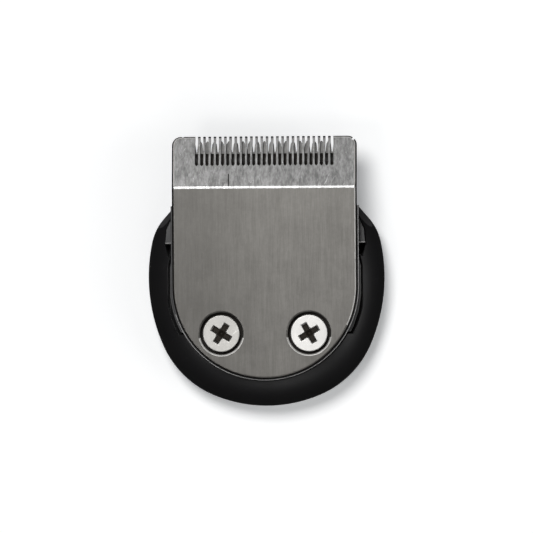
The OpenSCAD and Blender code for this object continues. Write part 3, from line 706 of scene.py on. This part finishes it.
# painted light: one nickel made darker for the left screw and lighter for the right, for how the light falls on them
nickel_shaded_left = nickel_material(
    "nickel_shaded_left", (0.47, 0.46, 0.439), 0.44, (SCREW_X, SCREW_Y, 0), (SCREW_TOP - 0.1, SCREW_TOP - 0.4)
)
nickel_lit_right = nickel_material(
    "nickel_lit_right", (0.67, 0.66, 0.64), 0.46, (SCREW_X, SCREW_Y, 0), (SCREW_TOP - 0.1, SCREW_TOP - 0.4)
)
shell_plastic = plastic_material("shell_plastic", (0.0074, 0.0072, 0.0078), 0.04, 0.44, 5.5, 0.003)
# painted light: the shell's shoulder flats made lighter, where they face the light
lit_flat_plastic = plastic_material("lit_flat_plastic", (0.058, 0.057, 0.059), 0.05, 0.42, 6.0, 0.004)
# painted highlight: pale plastic on the lip's rounded edge
lip_highlight_plastic = plastic_material("lip_highlight_plastic", (0.50, 0.495, 0.49), 0.05, 0.40, 7.0, 0.004)
# painted shade: near-black floors of the grooves and of the shell's ledge
groove_shade_plastic = plastic_material("groove_shade_plastic", (0.002, 0.002, 0.002), 0.05, 0.6, 6.0, 0.004)
groove_shade_plastic.node_tree.nodes["Principled BSDF"].inputs["Specular IOR Level"].default_value = 0.08
# painted light: the right rail's top made lighter, though it lies in shade
lit_rail_plastic = plastic_material("lit_rail_plastic", (0.13, 0.13, 0.13), 0.05, 0.42, 7.0, 0.004)
# painted highlight: pale plastic on the lugs' rounded lower edges
lug_highlight_plastic = plastic_material("lug_highlight_plastic", (0.36, 0.355, 0.35), 0.05, 0.40, 7.0, 0.004)
frame_plastic = plastic_material("frame_plastic", (0.018, 0.018, 0.0185), 0.06, 0.46, 7.0, 0.004)
carrier_plastic = plastic_material("carrier_plastic", (0.014, 0.014, 0.016), 0.08, 0.36, 9.0, 0.002)
cover_plastic = plastic_material("cover_plastic", (0.010, 0.010, 0.011), 0.06, 0.5, 6.0, 0.007)
clip_plastic = plastic_material("clip_plastic", (0.02, 0.02, 0.022), 0.05, 0.45, 8.0, 0.004)
fork_plastic = plastic_material("fork_plastic", (0.66, 0.63, 0.55), 0.08, 0.38, 6.0, 0.003)


def dark_hollow():
    """Painted shade: the hollow behind the cutter's teeth, near black and brown."""
    made, tree, shader, place = new_material("painted_shade_hollow")
    marks = use_group(tree, "handling_marks", place)
    colour = blend_colours(tree, marks["Smudges"], (0.006, 0.005, 0.004, 1), (0.016, 0.012, 0.009, 1))
    colour = blend_colours(tree, math_node(tree, "MULTIPLY", marks["Flecks"], 0.3), colour, (0.1, 0.09, 0.08, 1))
    tree.links.new(colour, shader.inputs["Base Color"])
    tree.links.new(ramp_between(tree, marks["Smudges"], 0.0, 1.0, 0.45, 0.65), shader.inputs["Roughness"])
    shader.inputs["Specular IOR Level"].default_value = 0.25
    return made


painted_shade_hollow = dark_hollow()


# The comb blade


def heel_outline(grow, front_y, corner=0.0):
    """The blade's outline moved outwards: its round heel, its sides and its front, with round corners."""
    half = HEEL_R + grow
    points = arc((0, HEEL_CENTRE_Y), half, 180, 360, 120)
    if not corner:
        return points + [(half, front_y), (-half, front_y)]
    points += arc((half - corner, front_y - corner), corner, 0, 90, 10)
    return points + arc((corner - half, front_y - corner), corner, 90, 180, 10)


def slot_cutters():
    """One cutter for a slot with its pointed root, copied along the row."""
    half, tip, root = SLOT_W / 2, SLOT_TIP_W / 2, FRONT - SLOT_L
    shape = [
        (0, root), (half, root + SLOT_POINT), (half, HOLLOW_FRONT + BEND_Y), (tip, FRONT - ROLLED_EDGE), (tip, FRONT + OVER),
        (-tip, FRONT + OVER), (-tip, FRONT - ROLLED_EDGE), (-half, HOLLOW_FRONT + BEND_Y), (-half, root + SLOT_POINT),
    ]
    cutter = slab(shape, -2 * BLADE_T, BLADE_T)
    cutter.location.x = -(SLOT_COUNT - 1) / 2 * SLOT_PITCH
    return copies(cutter, [(i * SLOT_PITCH, 0, 0) for i in range(1, SLOT_COUNT)])


def comb_blade():
    """The comb blade, modelled flat with its face at zero, then bent and put in its place."""
    blade = slab(heel_outline(0, FRONT, CORNER_R), -BLADE_T, 0)
    seat_floor = SCREW_TOP - HEAD_T - FACE_Z
    for side in (-1, 1):
        place = (side * SCREW_X, SCREW_Y)
        add(blade, drum(SEAT_R + BLADE_T, seat_floor - BLADE_T, -BLADE_T / 2, place))
        cut(blade, drum(SEAT_R, seat_floor, OVER, place))
        cut(blade, drum(SEAT_HOLE_R, seat_floor - 2 * BLADE_T, OVER, place, 64))
    cut(blade, slot_cutters())
    edit(blade)
    bevel_edges(lambda e: is_top_edge(e) and from_screw(middle(e)) < SEAT_R + 0.1, SEAT_SHOULDER, 5)
    bevel_edges(
        lambda e: is_top_edge(e) and from_screw(middle(e)) > SEAT_R + 1 and not is_slot_edge(e), ROLLED_EDGE, 7
    )
    bevel_edges(lambda e: is_top_edge(e) and is_slot_edge(e), SLOT_EDGE, 2)
    leave()
    for x, behind, radius in NICKS:
        cut(blade, drum(radius, -2 * BLADE_T, BLADE_T, (x, FRONT - behind), 16))
    edit(blade)
    bend_sheet()
    bpy.ops.mesh.select_all(action="SELECT")
    bpy.ops.transform.translate(value=(0, 0, FACE_Z))
    leave()
    paint_blade(blade)
    return finish_piece(
        blade, "comb_blade", BODY_HOUSING,
        [plate_steel, ground_steel, slot_wall_shade, dark_edge_paint, highlight_steel], "fixed_blade",
    )


def is_top_edge(e):
    """An edge between the flat sheet's face and a wall."""
    if len(e.link_faces) != 2 or abs(middle(e).z) > WELD:
        return False
    ups = sorted(abs(f.normal.z) for f in e.link_faces)
    return ups[0] < 0.1 and ups[1] > 0.9


def is_slot_edge(e):
    """An edge along a slot, not one on the tips."""
    reach = SLOT_COUNT / 2 * SLOT_PITCH
    at = middle(e)
    return abs(at.x) < reach and FRONT - SLOT_L - OVER < at.y < FRONT - WELD


def from_screw(point):
    return min(math.hypot(point.x - side * SCREW_X, point.y - SCREW_Y) for side in (-1, 1))


def bend_sheet():
    """Bends the flat sheet in edit mode over an arc, in steps, and leans the toothed part back."""
    start = BEND_Y - ARC_BACK
    step = 2 * ARC_BACK / BEND_STEPS
    for i in range(BEND_STEPS + 1):
        bpy.ops.mesh.select_all(action="SELECT")
        bpy.ops.mesh.bisect(plane_co=(0, start + i * step, 0), plane_no=Y)
    centre = (0, start, -BLADE_T - BEND_R)
    for i in range(BEND_STEPS, 0, -1):
        here = start + i * step
        reach = HIGH if i == BEND_STEPS else step / 2
        pick("verts", lambda v: here - step / 2 < v.co.y < here + reach and v.co.z > -BLADE_T - WELD)
        bpy.ops.transform.translate(value=(0, -i * step, 0))
        turn_about_x(BEND_DEG * i / BEND_STEPS, centre)


def paint_blade(blade):
    """Gives the toothed part its own finish, and paints shade on the slots' walls, the tips and the blade's steep
    rolled edges, and highlights on the slots' rims near their roots, the seats' lower shoulders and a thin line along
    the edges on the right and at the front corners.
    """
    reach = (SLOT_COUNT / 2) * SLOT_PITCH
    lean = math.radians(BEND_DEG)
    for face in blade.data.polygons:
        at = face.center
        leaning = at.y > BEND_Y - ARC_BACK
        out = Vector((0, math.sin(lean), math.cos(lean))) if leaning else Z
        if leaning:
            face.material_index = 1
        if leaning and abs(at.x) < reach and at.y < TIP_Y - ROLLED_EDGE:
            # painted shade on the slots' walls; on their rims a painted highlight towards the roots and painted shade
            # towards the tips
            if abs(face.normal.x) > 0.9:
                face.material_index = 2
            elif abs(face.normal.x) > 0.3:
                face.material_index = 4 if at.y < BEND_Y + HOLLOW_FRONT * math.cos(lean) else 3
        elif leaning and abs(at.x) < reach:
            # painted shade on the tips' rolled edges
            if face.normal.dot(out) < 0.97:
                face.material_index = 3
        elif from_screw(at) < 1.2 * SEAT_R:
            # painted highlight on the lower side of each seat's shoulder
            if at.y < SCREW_Y - 0.2 * SEAT_R and FACE_Z - 0.3 < at.z and 0.6 < face.normal.z < 0.998:
                face.material_index = 4
        elif face.normal.dot(out) < 0.997 and abs(at.y - BEND_Y) > ARC_BACK:
            # rolled edges: painted shade on their steep part, a painted highlight line on their gentle part on the
            # right and at the front corners
            bright = leaning or at.x > 0 and at.y > HEEL_CENTRE_Y - 7
            face.material_index = 3 if face.normal.dot(out) < 0.93 else 4 if bright else 0


# The moving blade


def cutter_outline():
    """The cutter's outline in its own plane, its teeth parted by gaps that widen to the tips."""
    half = CUTTER_W / 2
    points = [(-half, CUTTER_BACK), (half, CUTTER_BACK), (half, CUTTER_TIP)]
    for i in range(CUTTER_TEETH - 1, 0, -1):
        x = (i - CUTTER_TEETH / 2) * CUTTER_PITCH
        side = [
            (GAP_TIP / 2 + TIP_CUT[0], CUTTER_TIP), (GAP_TIP / 2 - 0.1, CUTTER_TIP - TIP_CUT[1]),
            (GAP_ROOT / 2, CUTTER_ROOT),
        ]
        points += [(x + out, y) for out, y in side] + [(x - out, y) for out, y in reversed(side)]
    return points + [(-half, CUTTER_TIP)]


def lay_leaning(obj):
    """Puts a shape from the leaning plane to its place, front end down."""
    obj.location = (0, BEND_Y, FACE_Z)
    obj.rotation_euler.x = -math.radians(BEND_DEG)
    settle(obj)


def cutter_blade():
    cutter = slab(cutter_outline(), CUTTER_TOP - CUTTER_T, CUTTER_TOP)
    # a grinding wheel that leaves a hollow of this length and depth
    wheel_r = (HOLLOW_L ** 2 / 4 + HOLLOW_DEPTH ** 2) / (2 * HOLLOW_DEPTH)
    wheel_y = HOLLOW_FRONT - HOLLOW_L / 2
    wheel = drum(wheel_r, -CUTTER_W, CUTTER_W, vertices=128)
    wheel.rotation_euler.y = math.pi / 2
    wheel.location = (0, wheel_y, CUTTER_TOP - HOLLOW_DEPTH + wheel_r)
    settle(wheel)
    cut(cutter, wheel)
    for side in (-1, 1):
        cut(cutter, drum(PEG_HOLE_R, CUTTER_TOP - CUTTER_T - OVER, 0, (side * PEG_X, PEG_AT), 32))
    # painted shade on the hollow's faces
    for face in cutter.data.polygons:
        in_hollow = HOLLOW_FRONT - HOLLOW_L < face.center.y < HOLLOW_FRONT
        if in_hollow and face.normal.z > 0.2:
            face.material_index = 1
    wear(cutter, [None, None])
    round_edges(cutter, 0.03, 1, 50)
    lay_leaning(cutter)
    return finish_piece(
        cutter, "cutter_blade", BODY_CUTTER, [cutter_steel, painted_shade_hollow], "moving_blade"
    )


# The blade screws


def cross_recess():
    """The tool for a cross recess with tapering arms and a cone in the middle, its top at zero."""
    arms = []
    for long_x in (True, False):
        half = (CROSS_L / 2, CROSS_W / 2) if long_x else (CROSS_W / 2, CROSS_L / 2)
        arm = block((-half[0], -half[1], -CROSS_DEPTH), (half[0], half[1], 0))
        edit(arm)
        pick("verts", lambda v: v.co.z < -WELD)
        narrower = (0.78, 0.6, 1) if long_x else (0.6, 0.78, 1)
        bpy.ops.transform.resize(value=narrower)
        pick("faces", lambda f: f.normal.z > 0.9)
        bpy.ops.mesh.extrude_region_move(TRANSFORM_OT_translate={"value": (0, 0, OVER)})
        leave()
        arms.append(arm)
    add(arms[0], arms[1])
    add(arms[0], drum(0.15 * CROSS_W, -CROSS_DEPTH - CONE_DEPTH, 0, vertices=32, top_radius=0.86 * CROSS_W))
    return arms[0]


def blade_screw(side, turn, name, material, node):
    """A low, wide screw whose head fills its seat in the comb blade."""
    place = (side * SCREW_X, SCREW_Y)
    under = SCREW_TOP - HEAD_T
    screw = drum(HEAD_R, under, SCREW_TOP, place, 128)
    edit(screw)
    bevel_edges(lambda e: is_rim(e, SCREW_TOP), 0.16, 4)
    bevel_edges(lambda e: is_rim(e, under), 0.12, 3)
    leave()
    shank = drum(SHANK_R, SCREW_FOOT, under + 0.2, place, 48)
    edit(shank)
    bevel_edges(lambda e: is_rim(e, SCREW_FOOT), 0.35, 3)
    leave()
    add(screw, shank)
    recess = cross_recess()
    recess.location = (*place, SCREW_TOP)
    recess.rotation_euler.z = math.radians(turn)
    settle(recess)
    cut(screw, recess)
    edit(screw)
    bevel_edges(lambda e: is_rim(e, SCREW_TOP) and from_screw(middle(e)) < 0.75 * HEAD_R, 0.07, 2)
    leave()
    return finish_piece(screw, name, BODY_HOUSING, [material], node)


def is_rim(e, height):
    """A sharp edge that lies at a height."""
    level = all(abs(v.co.z - height) < WELD for v in e.verts)
    return level and len(e.link_faces) == 2 and e.calc_face_angle(0) > math.radians(40)


# The shell


def outward(turn):
    """Direction out of the shell's outline, for a turn in degrees from straight down."""
    return Vector((math.sin(math.radians(turn)), -math.cos(math.radians(turn)), 0))


def arc_centres():
    centres = [Vector((0, FOOT_Y + ARC_RADII[0], 0))]
    for i in range(1, len(ARC_RADII)):
        centres.append(centres[-1] + (ARC_RADII[i - 1] - ARC_RADII[i]) * outward(ARC_TURNS[i]))
    return centres


SHOULDER_TURN = ARC_TURNS[-1]
SHOULDER_END = arc_centres()[-1] + ARC_RADII[-1] * outward(SHOULDER_TURN)
ALONG_SHOULDER = Z.cross(outward(SHOULDER_TURN))
# Runs on until the wall's inner side has passed the shell's front
FRONT_RUN = SHELL_FRONT_Y + OVER + DOME_R * outward(SHOULDER_TURN).y
STRAIGHT = (FRONT_RUN - SHOULDER_END.y) / ALONG_SHOULDER.y * ALONG_SHOULDER


def wall_section():
    """The shell's section, as points by their distance in from the outline and their height."""
    middle_point = (DOME_R, WIDEST_Z)
    ledge_top = LEDGE_Z + LEDGE_T
    inner_r = DOME_R - SHELL_WALL
    ledge_turn = math.degrees(math.asin((ledge_top - WIDEST_Z) / inner_r))
    under_ledge = SHELL_WALL + RIM_TUCK * (1 - LEDGE_Z / WIDEST_Z)
    return [
        (RIM_TUCK, 0),
        *arc(middle_point, DOME_R, 180, 90, DOME_STEPS),
        *arc(middle_point, inner_r, 90, 180 - ledge_turn, DOME_STEPS),
        (SHELL_WALL + LEDGE_W, ledge_top),
        (SHELL_WALL + LEDGE_W, LEDGE_Z),
        (under_ledge, LEDGE_Z),
        (SHELL_WALL + RIM_TUCK, 0),
    ]


def ring():
    """The shell's wall, carried round its outline from the foot to the shoulder and mirrored."""
    made = sketch([(0, FOOT_Y + inwards, height) for inwards, height in wall_section()])
    edit(made)
    pick("verts", lambda v: v.co.z < WELD and v.co.y < FOOT_Y + RIM_TUCK + WELD)
    bpy.ops.mesh.bevel(offset=RIM_ROUND, segments=4, affect="VERTICES")
    bpy.ops.mesh.select_all(action="SELECT")
    bpy.ops.mesh.delete(type="ONLY_FACE")
    bpy.ops.mesh.select_all(action="SELECT")
    for i, centre in enumerate(arc_centres()):
        swing = math.radians(ARC_TURNS[i + 1] - ARC_TURNS[i])
        bpy.ops.mesh.spin(steps=ARC_STEPS[i], angle=-swing, center=centre, axis=Z)
    bpy.ops.mesh.extrude_region_move(TRANSFORM_OT_translate={"value": STRAIGHT})
    pick("edges", lambda e: e.is_boundary and middle(e).x > 1)
    bpy.ops.mesh.edge_face_add()
    leave()
    mirror = made.modifiers.new("mirror", "MIRROR")
    mirror.merge_threshold = WELD
    apply_all(made)
    edit(made)
    face_outwards()
    leave()
    return made


def mirrored(outline, side):
    return [(side * x, y) for x, y in outline]


def rail_cutter():
    """What the frame's rails fill, with the gap around them."""
    half = HEEL_R + RAIL_OUT + GROOVE_W
    low = RAIL_Z - RAIL_T
    made = block((-half, RAIL_END_Y - WEDGE_GAP, low), (half, LUG_Y - NOTCH_L, HIGH))
    round_heel = drum(HEEL_R + RAIL_END_OUT + WEDGE_GAP, low - OVER, HIGH + OVER, (0, HEEL_CENTRE_Y), 256)
    combine(made, round_heel, "INTERSECT")
    return made


def lug_cutters(side):
    """What a comb lug and the notch behind it fill, with the gap around them."""
    inner = HEEL_R - 1
    lug = [(inner, LUG_Y - FIT_GAP), (HEEL_R + LUG_OUT + FIT_GAP, LUG_Y - FIT_GAP)]
    lug += [(HEEL_R + out * LUG_OUT + FIT_GAP, LUG_Y + along * LUG_L) for out, along in LUG_LINE]
    lug += [(inner, LUG_Y + LUG_L + 2 * FIT_GAP)]
    notch = [
        (inner, LUG_Y + 0.01), (HEEL_R + LUG_OUT + FIT_GAP, LUG_Y + 0.01),
        (HEEL_R + RAIL_OUT + GROOVE_W, LUG_Y - NOTCH_L), (inner, LUG_Y - NOTCH_L),
    ]
    low = LUG_FOOT_Z - FIT_GAP
    return [slab(mirrored(shape, side), low, HIGH) for shape in (lug, notch)]


def shoulder_flat():
    """A point and the normal of the flat on the right shoulder, along the outline's straight end."""
    start = math.radians(FLAT_START)
    start_in, start_up = DOME_R * (1 - math.cos(start)), DOME_R * math.sin(start)
    end_up = DOME_R * math.sin(math.acos(1 - FLAT_W / DOME_R))
    tilt = math.atan((FLAT_W - start_in) / (end_up - start_up))
    point = SHOULDER_END - start_in * outward(SHOULDER_TURN) + (WIDEST_Z + start_up) * Z
    return point, math.cos(tilt) * outward(SHOULDER_TURN) + math.sin(tilt) * Z


def cut_shoulder_flats():
    """Cuts the flat on each shoulder of the mesh in edit mode."""
    point, normal = shoulder_flat()
    for side in (-1, 1):
        bpy.ops.mesh.select_all(action="SELECT")
        bpy.ops.mesh.bisect(
            plane_co=(side * point.x, point.y, point.z),
            plane_no=(side * normal.x, normal.y, normal.z),
            clear_outer=True,
            use_fill=True,
        )


def dark_shell():
    shell = ring()
    front = SHELL_FRONT_Y
    add(shell, block((-HEEL_R, front - SHELL_WALL, 0), (HEEL_R, front + OVER, FRONT_WALL_H)))
    cut(shell, block((-HIGH, front, -OVER), (HIGH, HIGH, HIGH)))
    cut(shell, slab(heel_outline(FIT_GAP - WALL_IN, front + OVER), LEDGE_Z - OVER, HIGH))
    cut(shell, rail_cutter())
    cut(shell, slab(heel_outline(LIP + FIT_GAP, front + OVER), RAIL_Z - RAIL_T, HIGH))
    for side in (-1, 1):
        cut(shell, *lug_cutters(side))
    edit(shell)
    cut_shoulder_flats()
    bpy.ops.mesh.select_all(action="SELECT")
    bpy.ops.mesh.remove_doubles(threshold=WELD)
    face_outwards()
    leave()
    round_edges(shell, 0.08, 2, 38, clamp=False)
    drop_slivers(shell)
    flat = shoulder_flat()[1]
    wear(shell, [None, None, None])
    for face in shell.data.polygons:
        on_right = Vector((abs(face.normal.x), face.normal.y, face.normal.z))
        # painted light on the shoulder flats
        if on_right.dot(flat) > 0.998:
            face.material_index = 1
        # painted shade on the ledge's floor
        elif abs(face.center.z - (RAIL_Z - RAIL_T)) < 0.01 and face.normal.z > 0.9:
            face.material_index = 2
    return finish_piece(
        shell, "dark_shell", BODY_HOUSING, [shell_plastic, lit_flat_plastic, groove_shade_plastic],
        "outer_shell",
    )


# The pieces whose packed form is already right get round edges on a copy of it


def refined(node, name, body, material, width, dress=None, tools=None):
    made = bpy.data.objects.new(name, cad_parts[node].data.copy())
    bpy.context.scene.collection.objects.link(made)
    made.scale = (1 / MM, 1 / MM, 1 / MM)
    settle(made)
    made.data.materials.clear()
    edit(made)
    bpy.ops.mesh.select_all(action="SELECT")
    bpy.ops.mesh.remove_doubles(threshold=WELD)
    bpy.ops.mesh.dissolve_limited(angle_limit=math.radians(0.5))
    if dress:
        dress()
    leave()
    if tools:
        cut(made, *tools())
    round_edges(made, width, 2, 32, clamp=False)
    if tools:
        drop_slivers(made)
    return finish_piece(made, name, body, [material], node)


def ease_lugs():
    """Rounds the lower edge of each comb lug in the mesh in edit mode."""
    bevel_edges(
        lambda e: all(abs(v.co.y - LUG_Y) < 0.02 and v.co.z > LUG_TOP_Z - 0.02 and abs(v.co.x) > HEEL_R - 0.5 for v in e.verts)
        and abs(middle(e).z - LUG_TOP_Z) < 0.02, 0.22, 2
    )


def frame_cutters():
    """The grooves between rails and shell, wider where the blade turns in, and the room beside the lip."""
    grooves = block(
        (-HEEL_R - OVER, RAIL_END_Y - OVER, RAIL_Z - GROOVE_DEPTH), (HEEL_R + OVER, LUG_Y - NOTCH_L - 0.15, HIGH)
    )
    strip = slab(heel_outline(RAIL_STRIP, HIGH), -OVER, HIGH + OVER)
    strip.location.y = -STRIP_WIDENS
    settle(strip)
    cut(grooves, strip)
    beside_lip = block((-HEEL_R, HEEL_Y - OVER, RAIL_Z - 0.1), (HEEL_R, RAIL_END_Y - WEDGE_GAP, HIGH))
    cut(beside_lip, slab(heel_outline(LIP, HIGH), -OVER, HIGH + OVER))
    return grooves, beside_lip


def paint_frame(chassis):
    """Paints highlights on the lip's and the lugs' rounded edges, light on the right rail's top, and shade on the
    grooves' floors.
    """
    wear(chassis, [frame_plastic, lip_highlight_plastic, groove_shade_plastic, lug_highlight_plastic, lit_rail_plastic])
    groove_z = RAIL_Z - GROOVE_DEPTH
    for face in chassis.data.polygons:
        at = face.center / MM
        up = face.normal.z
        on_lug = abs(at.x) > HEEL_R - 0.5 and abs(at.y - LUG_Y) < 0.25 and LUG_TOP_Z - 0.3 < at.z < LUG_TOP_Z
        on_lip = at.z > FACE_Z - BLADE_T - 0.1 and (at.x > 0 or at.y < HEEL_CENTRE_Y - 4.5)
        # painted highlight on the lip's rounded edge
        if 0.15 < up < 0.97 and on_lip:
            face.material_index = 1
        # painted highlight on the lugs' lower edges
        elif 0.15 < up < 0.97 and on_lug and face.normal.y < -0.15:
            face.material_index = 3
        # painted light on the right rail's top
        elif up > 0.5 and abs(at.z - RAIL_Z) < 0.1 and at.x > 0 and RAIL_END_Y < at.y < LUG_Y - NOTCH_L + 0.1:
            face.material_index = 4
        # painted shade on the grooves' floors
        elif abs(at.z - groove_z) < 0.05 and up > 0.9:
            face.material_index = 2


comb_blade()
cutter_blade()
blade_screw(-1, 58.0, "comb_screw_left", nickel_shaded_left, "blade_screw_left")
blade_screw(1, 30.0, "comb_screw_right", nickel_lit_right, "blade_screw_right")
dark_shell()

small_nickel = nickel_material("small_screw_steel", (0.55, 0.54, 0.5), 0.36, (11.8, 1.2, 0), (-9.0, -10.0))
clamp_nickel = nickel_material("clamp_screw_steel", (0.55, 0.54, 0.5), 0.36, (0, -5.3, 0), (-9.0, -10.0))
paint_frame(
    refined(
        "inner_frame", "chassis", BODY_HOUSING, frame_plastic, 0.08, ease_lugs, frame_cutters
    )
)
refined("back_cover", "rear_cover", BODY_HOUSING, cover_plastic, 0.15)
refined("cutter_carrier", "slider", BODY_CUTTER, carrier_plastic, 0.1)
refined("drive_fork", "fork_insert", BODY_CUTTER, fork_plastic, 0.15)
refined("pressure_spring", "leaf_spring", BODY_HOUSING, spring_steel, 0.05)
refined("spring_clip", "spring_clamp", BODY_HOUSING, clip_plastic, 0.12)
refined("spring_clip_screw", "clamp_screw", BODY_HOUSING, clamp_nickel, 0.06)
refined("back_screw_left", "cover_screw_left", BODY_HOUSING, small_nickel, 0.07)
refined("back_screw_right", "cover_screw_right", BODY_HOUSING, small_nickel, 0.07)


# Floor, lights and camera

PHOTO_WIDTH_MM = 92.45
PHOTO_CENTRE_MM = (-0.01, 0.75, 4.5)
CAMERA_LEAN_DEG = 2.0
CAMERA_ROLL_DEG = -0.4
CAMERA_DISTANCE = 3.0
SENSOR_MM = 36.0


def floor():
    deselect_all()
    bpy.ops.mesh.primitive_plane_add(size=3)
    made = bpy.context.object
    made.name = "floor"
    material = bpy.data.materials.new("floor_white")
    material.use_nodes = True
    shader = material.node_tree.nodes["Principled BSDF"]
    shader.inputs["Roughness"].default_value = 0.9
    shader.inputs["Specular IOR Level"].default_value = 0
    shader.inputs["Emission Color"].default_value = (0.97, 1.0, 1.02, 1)
    # the floor is white in the picture alone, so that it doesn't mirror in the part's sides
    seen = put(material.node_tree, "ShaderNodeLightPath").outputs["Is Camera Ray"]
    glow = math_node(material.node_tree, "MULTIPLY", seen, 0.22)
    material.node_tree.links.new(glow, shader.inputs["Emission Strength"])
    white = blend_colours(material.node_tree, seen, (0.04, 0.04, 0.04, 1), (1, 1, 1, 1))
    material.node_tree.links.new(white, shader.inputs["Base Color"])
    made.data.materials.append(material)


def lamp(name, lean_right, lean_front, distance, size, radiance):
    """A round area light above the object, given by its leans from straight above, in degrees."""
    direction = Vector((math.tan(math.radians(lean_right)), math.tan(math.radians(lean_front)), 1))
    place = direction.normalized() * distance
    data = bpy.data.lights.new(name, "AREA")
    data.shape = "DISK"
    data.size = size
    # an area light's power is spread over its area and half sphere
    data.energy = radiance * math.pi * math.pi * (size / 2) ** 2
    made = bpy.data.objects.new(name, data)
    bpy.context.scene.collection.objects.link(made)
    made.location = place
    made.rotation_euler = place.to_track_quat("Z", "Y").to_euler()
    return made


floor()
lamp("key", -9, 18, 1.0, 0.36, 19)
lamp("left", -22, -16, 1.0, 0.25, 5)
lamp("right", 50, -14, 1.0, 0.7, 1.4)
lamp("front", 10, -48, 1.0, 0.6, 1.0)
world = bpy.data.worlds.new("studio")
bpy.context.scene.world = world
world.use_nodes = True
world.node_tree.nodes["Background"].inputs["Color"].default_value = (1, 1, 1, 1)
world.node_tree.nodes["Background"].inputs["Strength"].default_value = 0.045

camera_data = bpy.data.cameras.new("camera")
camera = bpy.data.objects.new("camera", camera_data)
bpy.context.scene.collection.objects.link(camera)
camera_data.sensor_width = SENSOR_MM
camera_data.lens = SENSOR_MM * CAMERA_DISTANCE / (PHOTO_WIDTH_MM * MM)
camera.rotation_euler = (0, math.radians(CAMERA_LEAN_DEG), math.radians(CAMERA_ROLL_DEG))
towards = camera.rotation_euler.to_matrix() @ Z
camera.location = Vector(PHOTO_CENTRE_MM) * MM + towards * CAMERA_DISTANCE
bpy.context.scene.camera = camera
bpy.context.scene.view_settings.view_transform = "Standard"
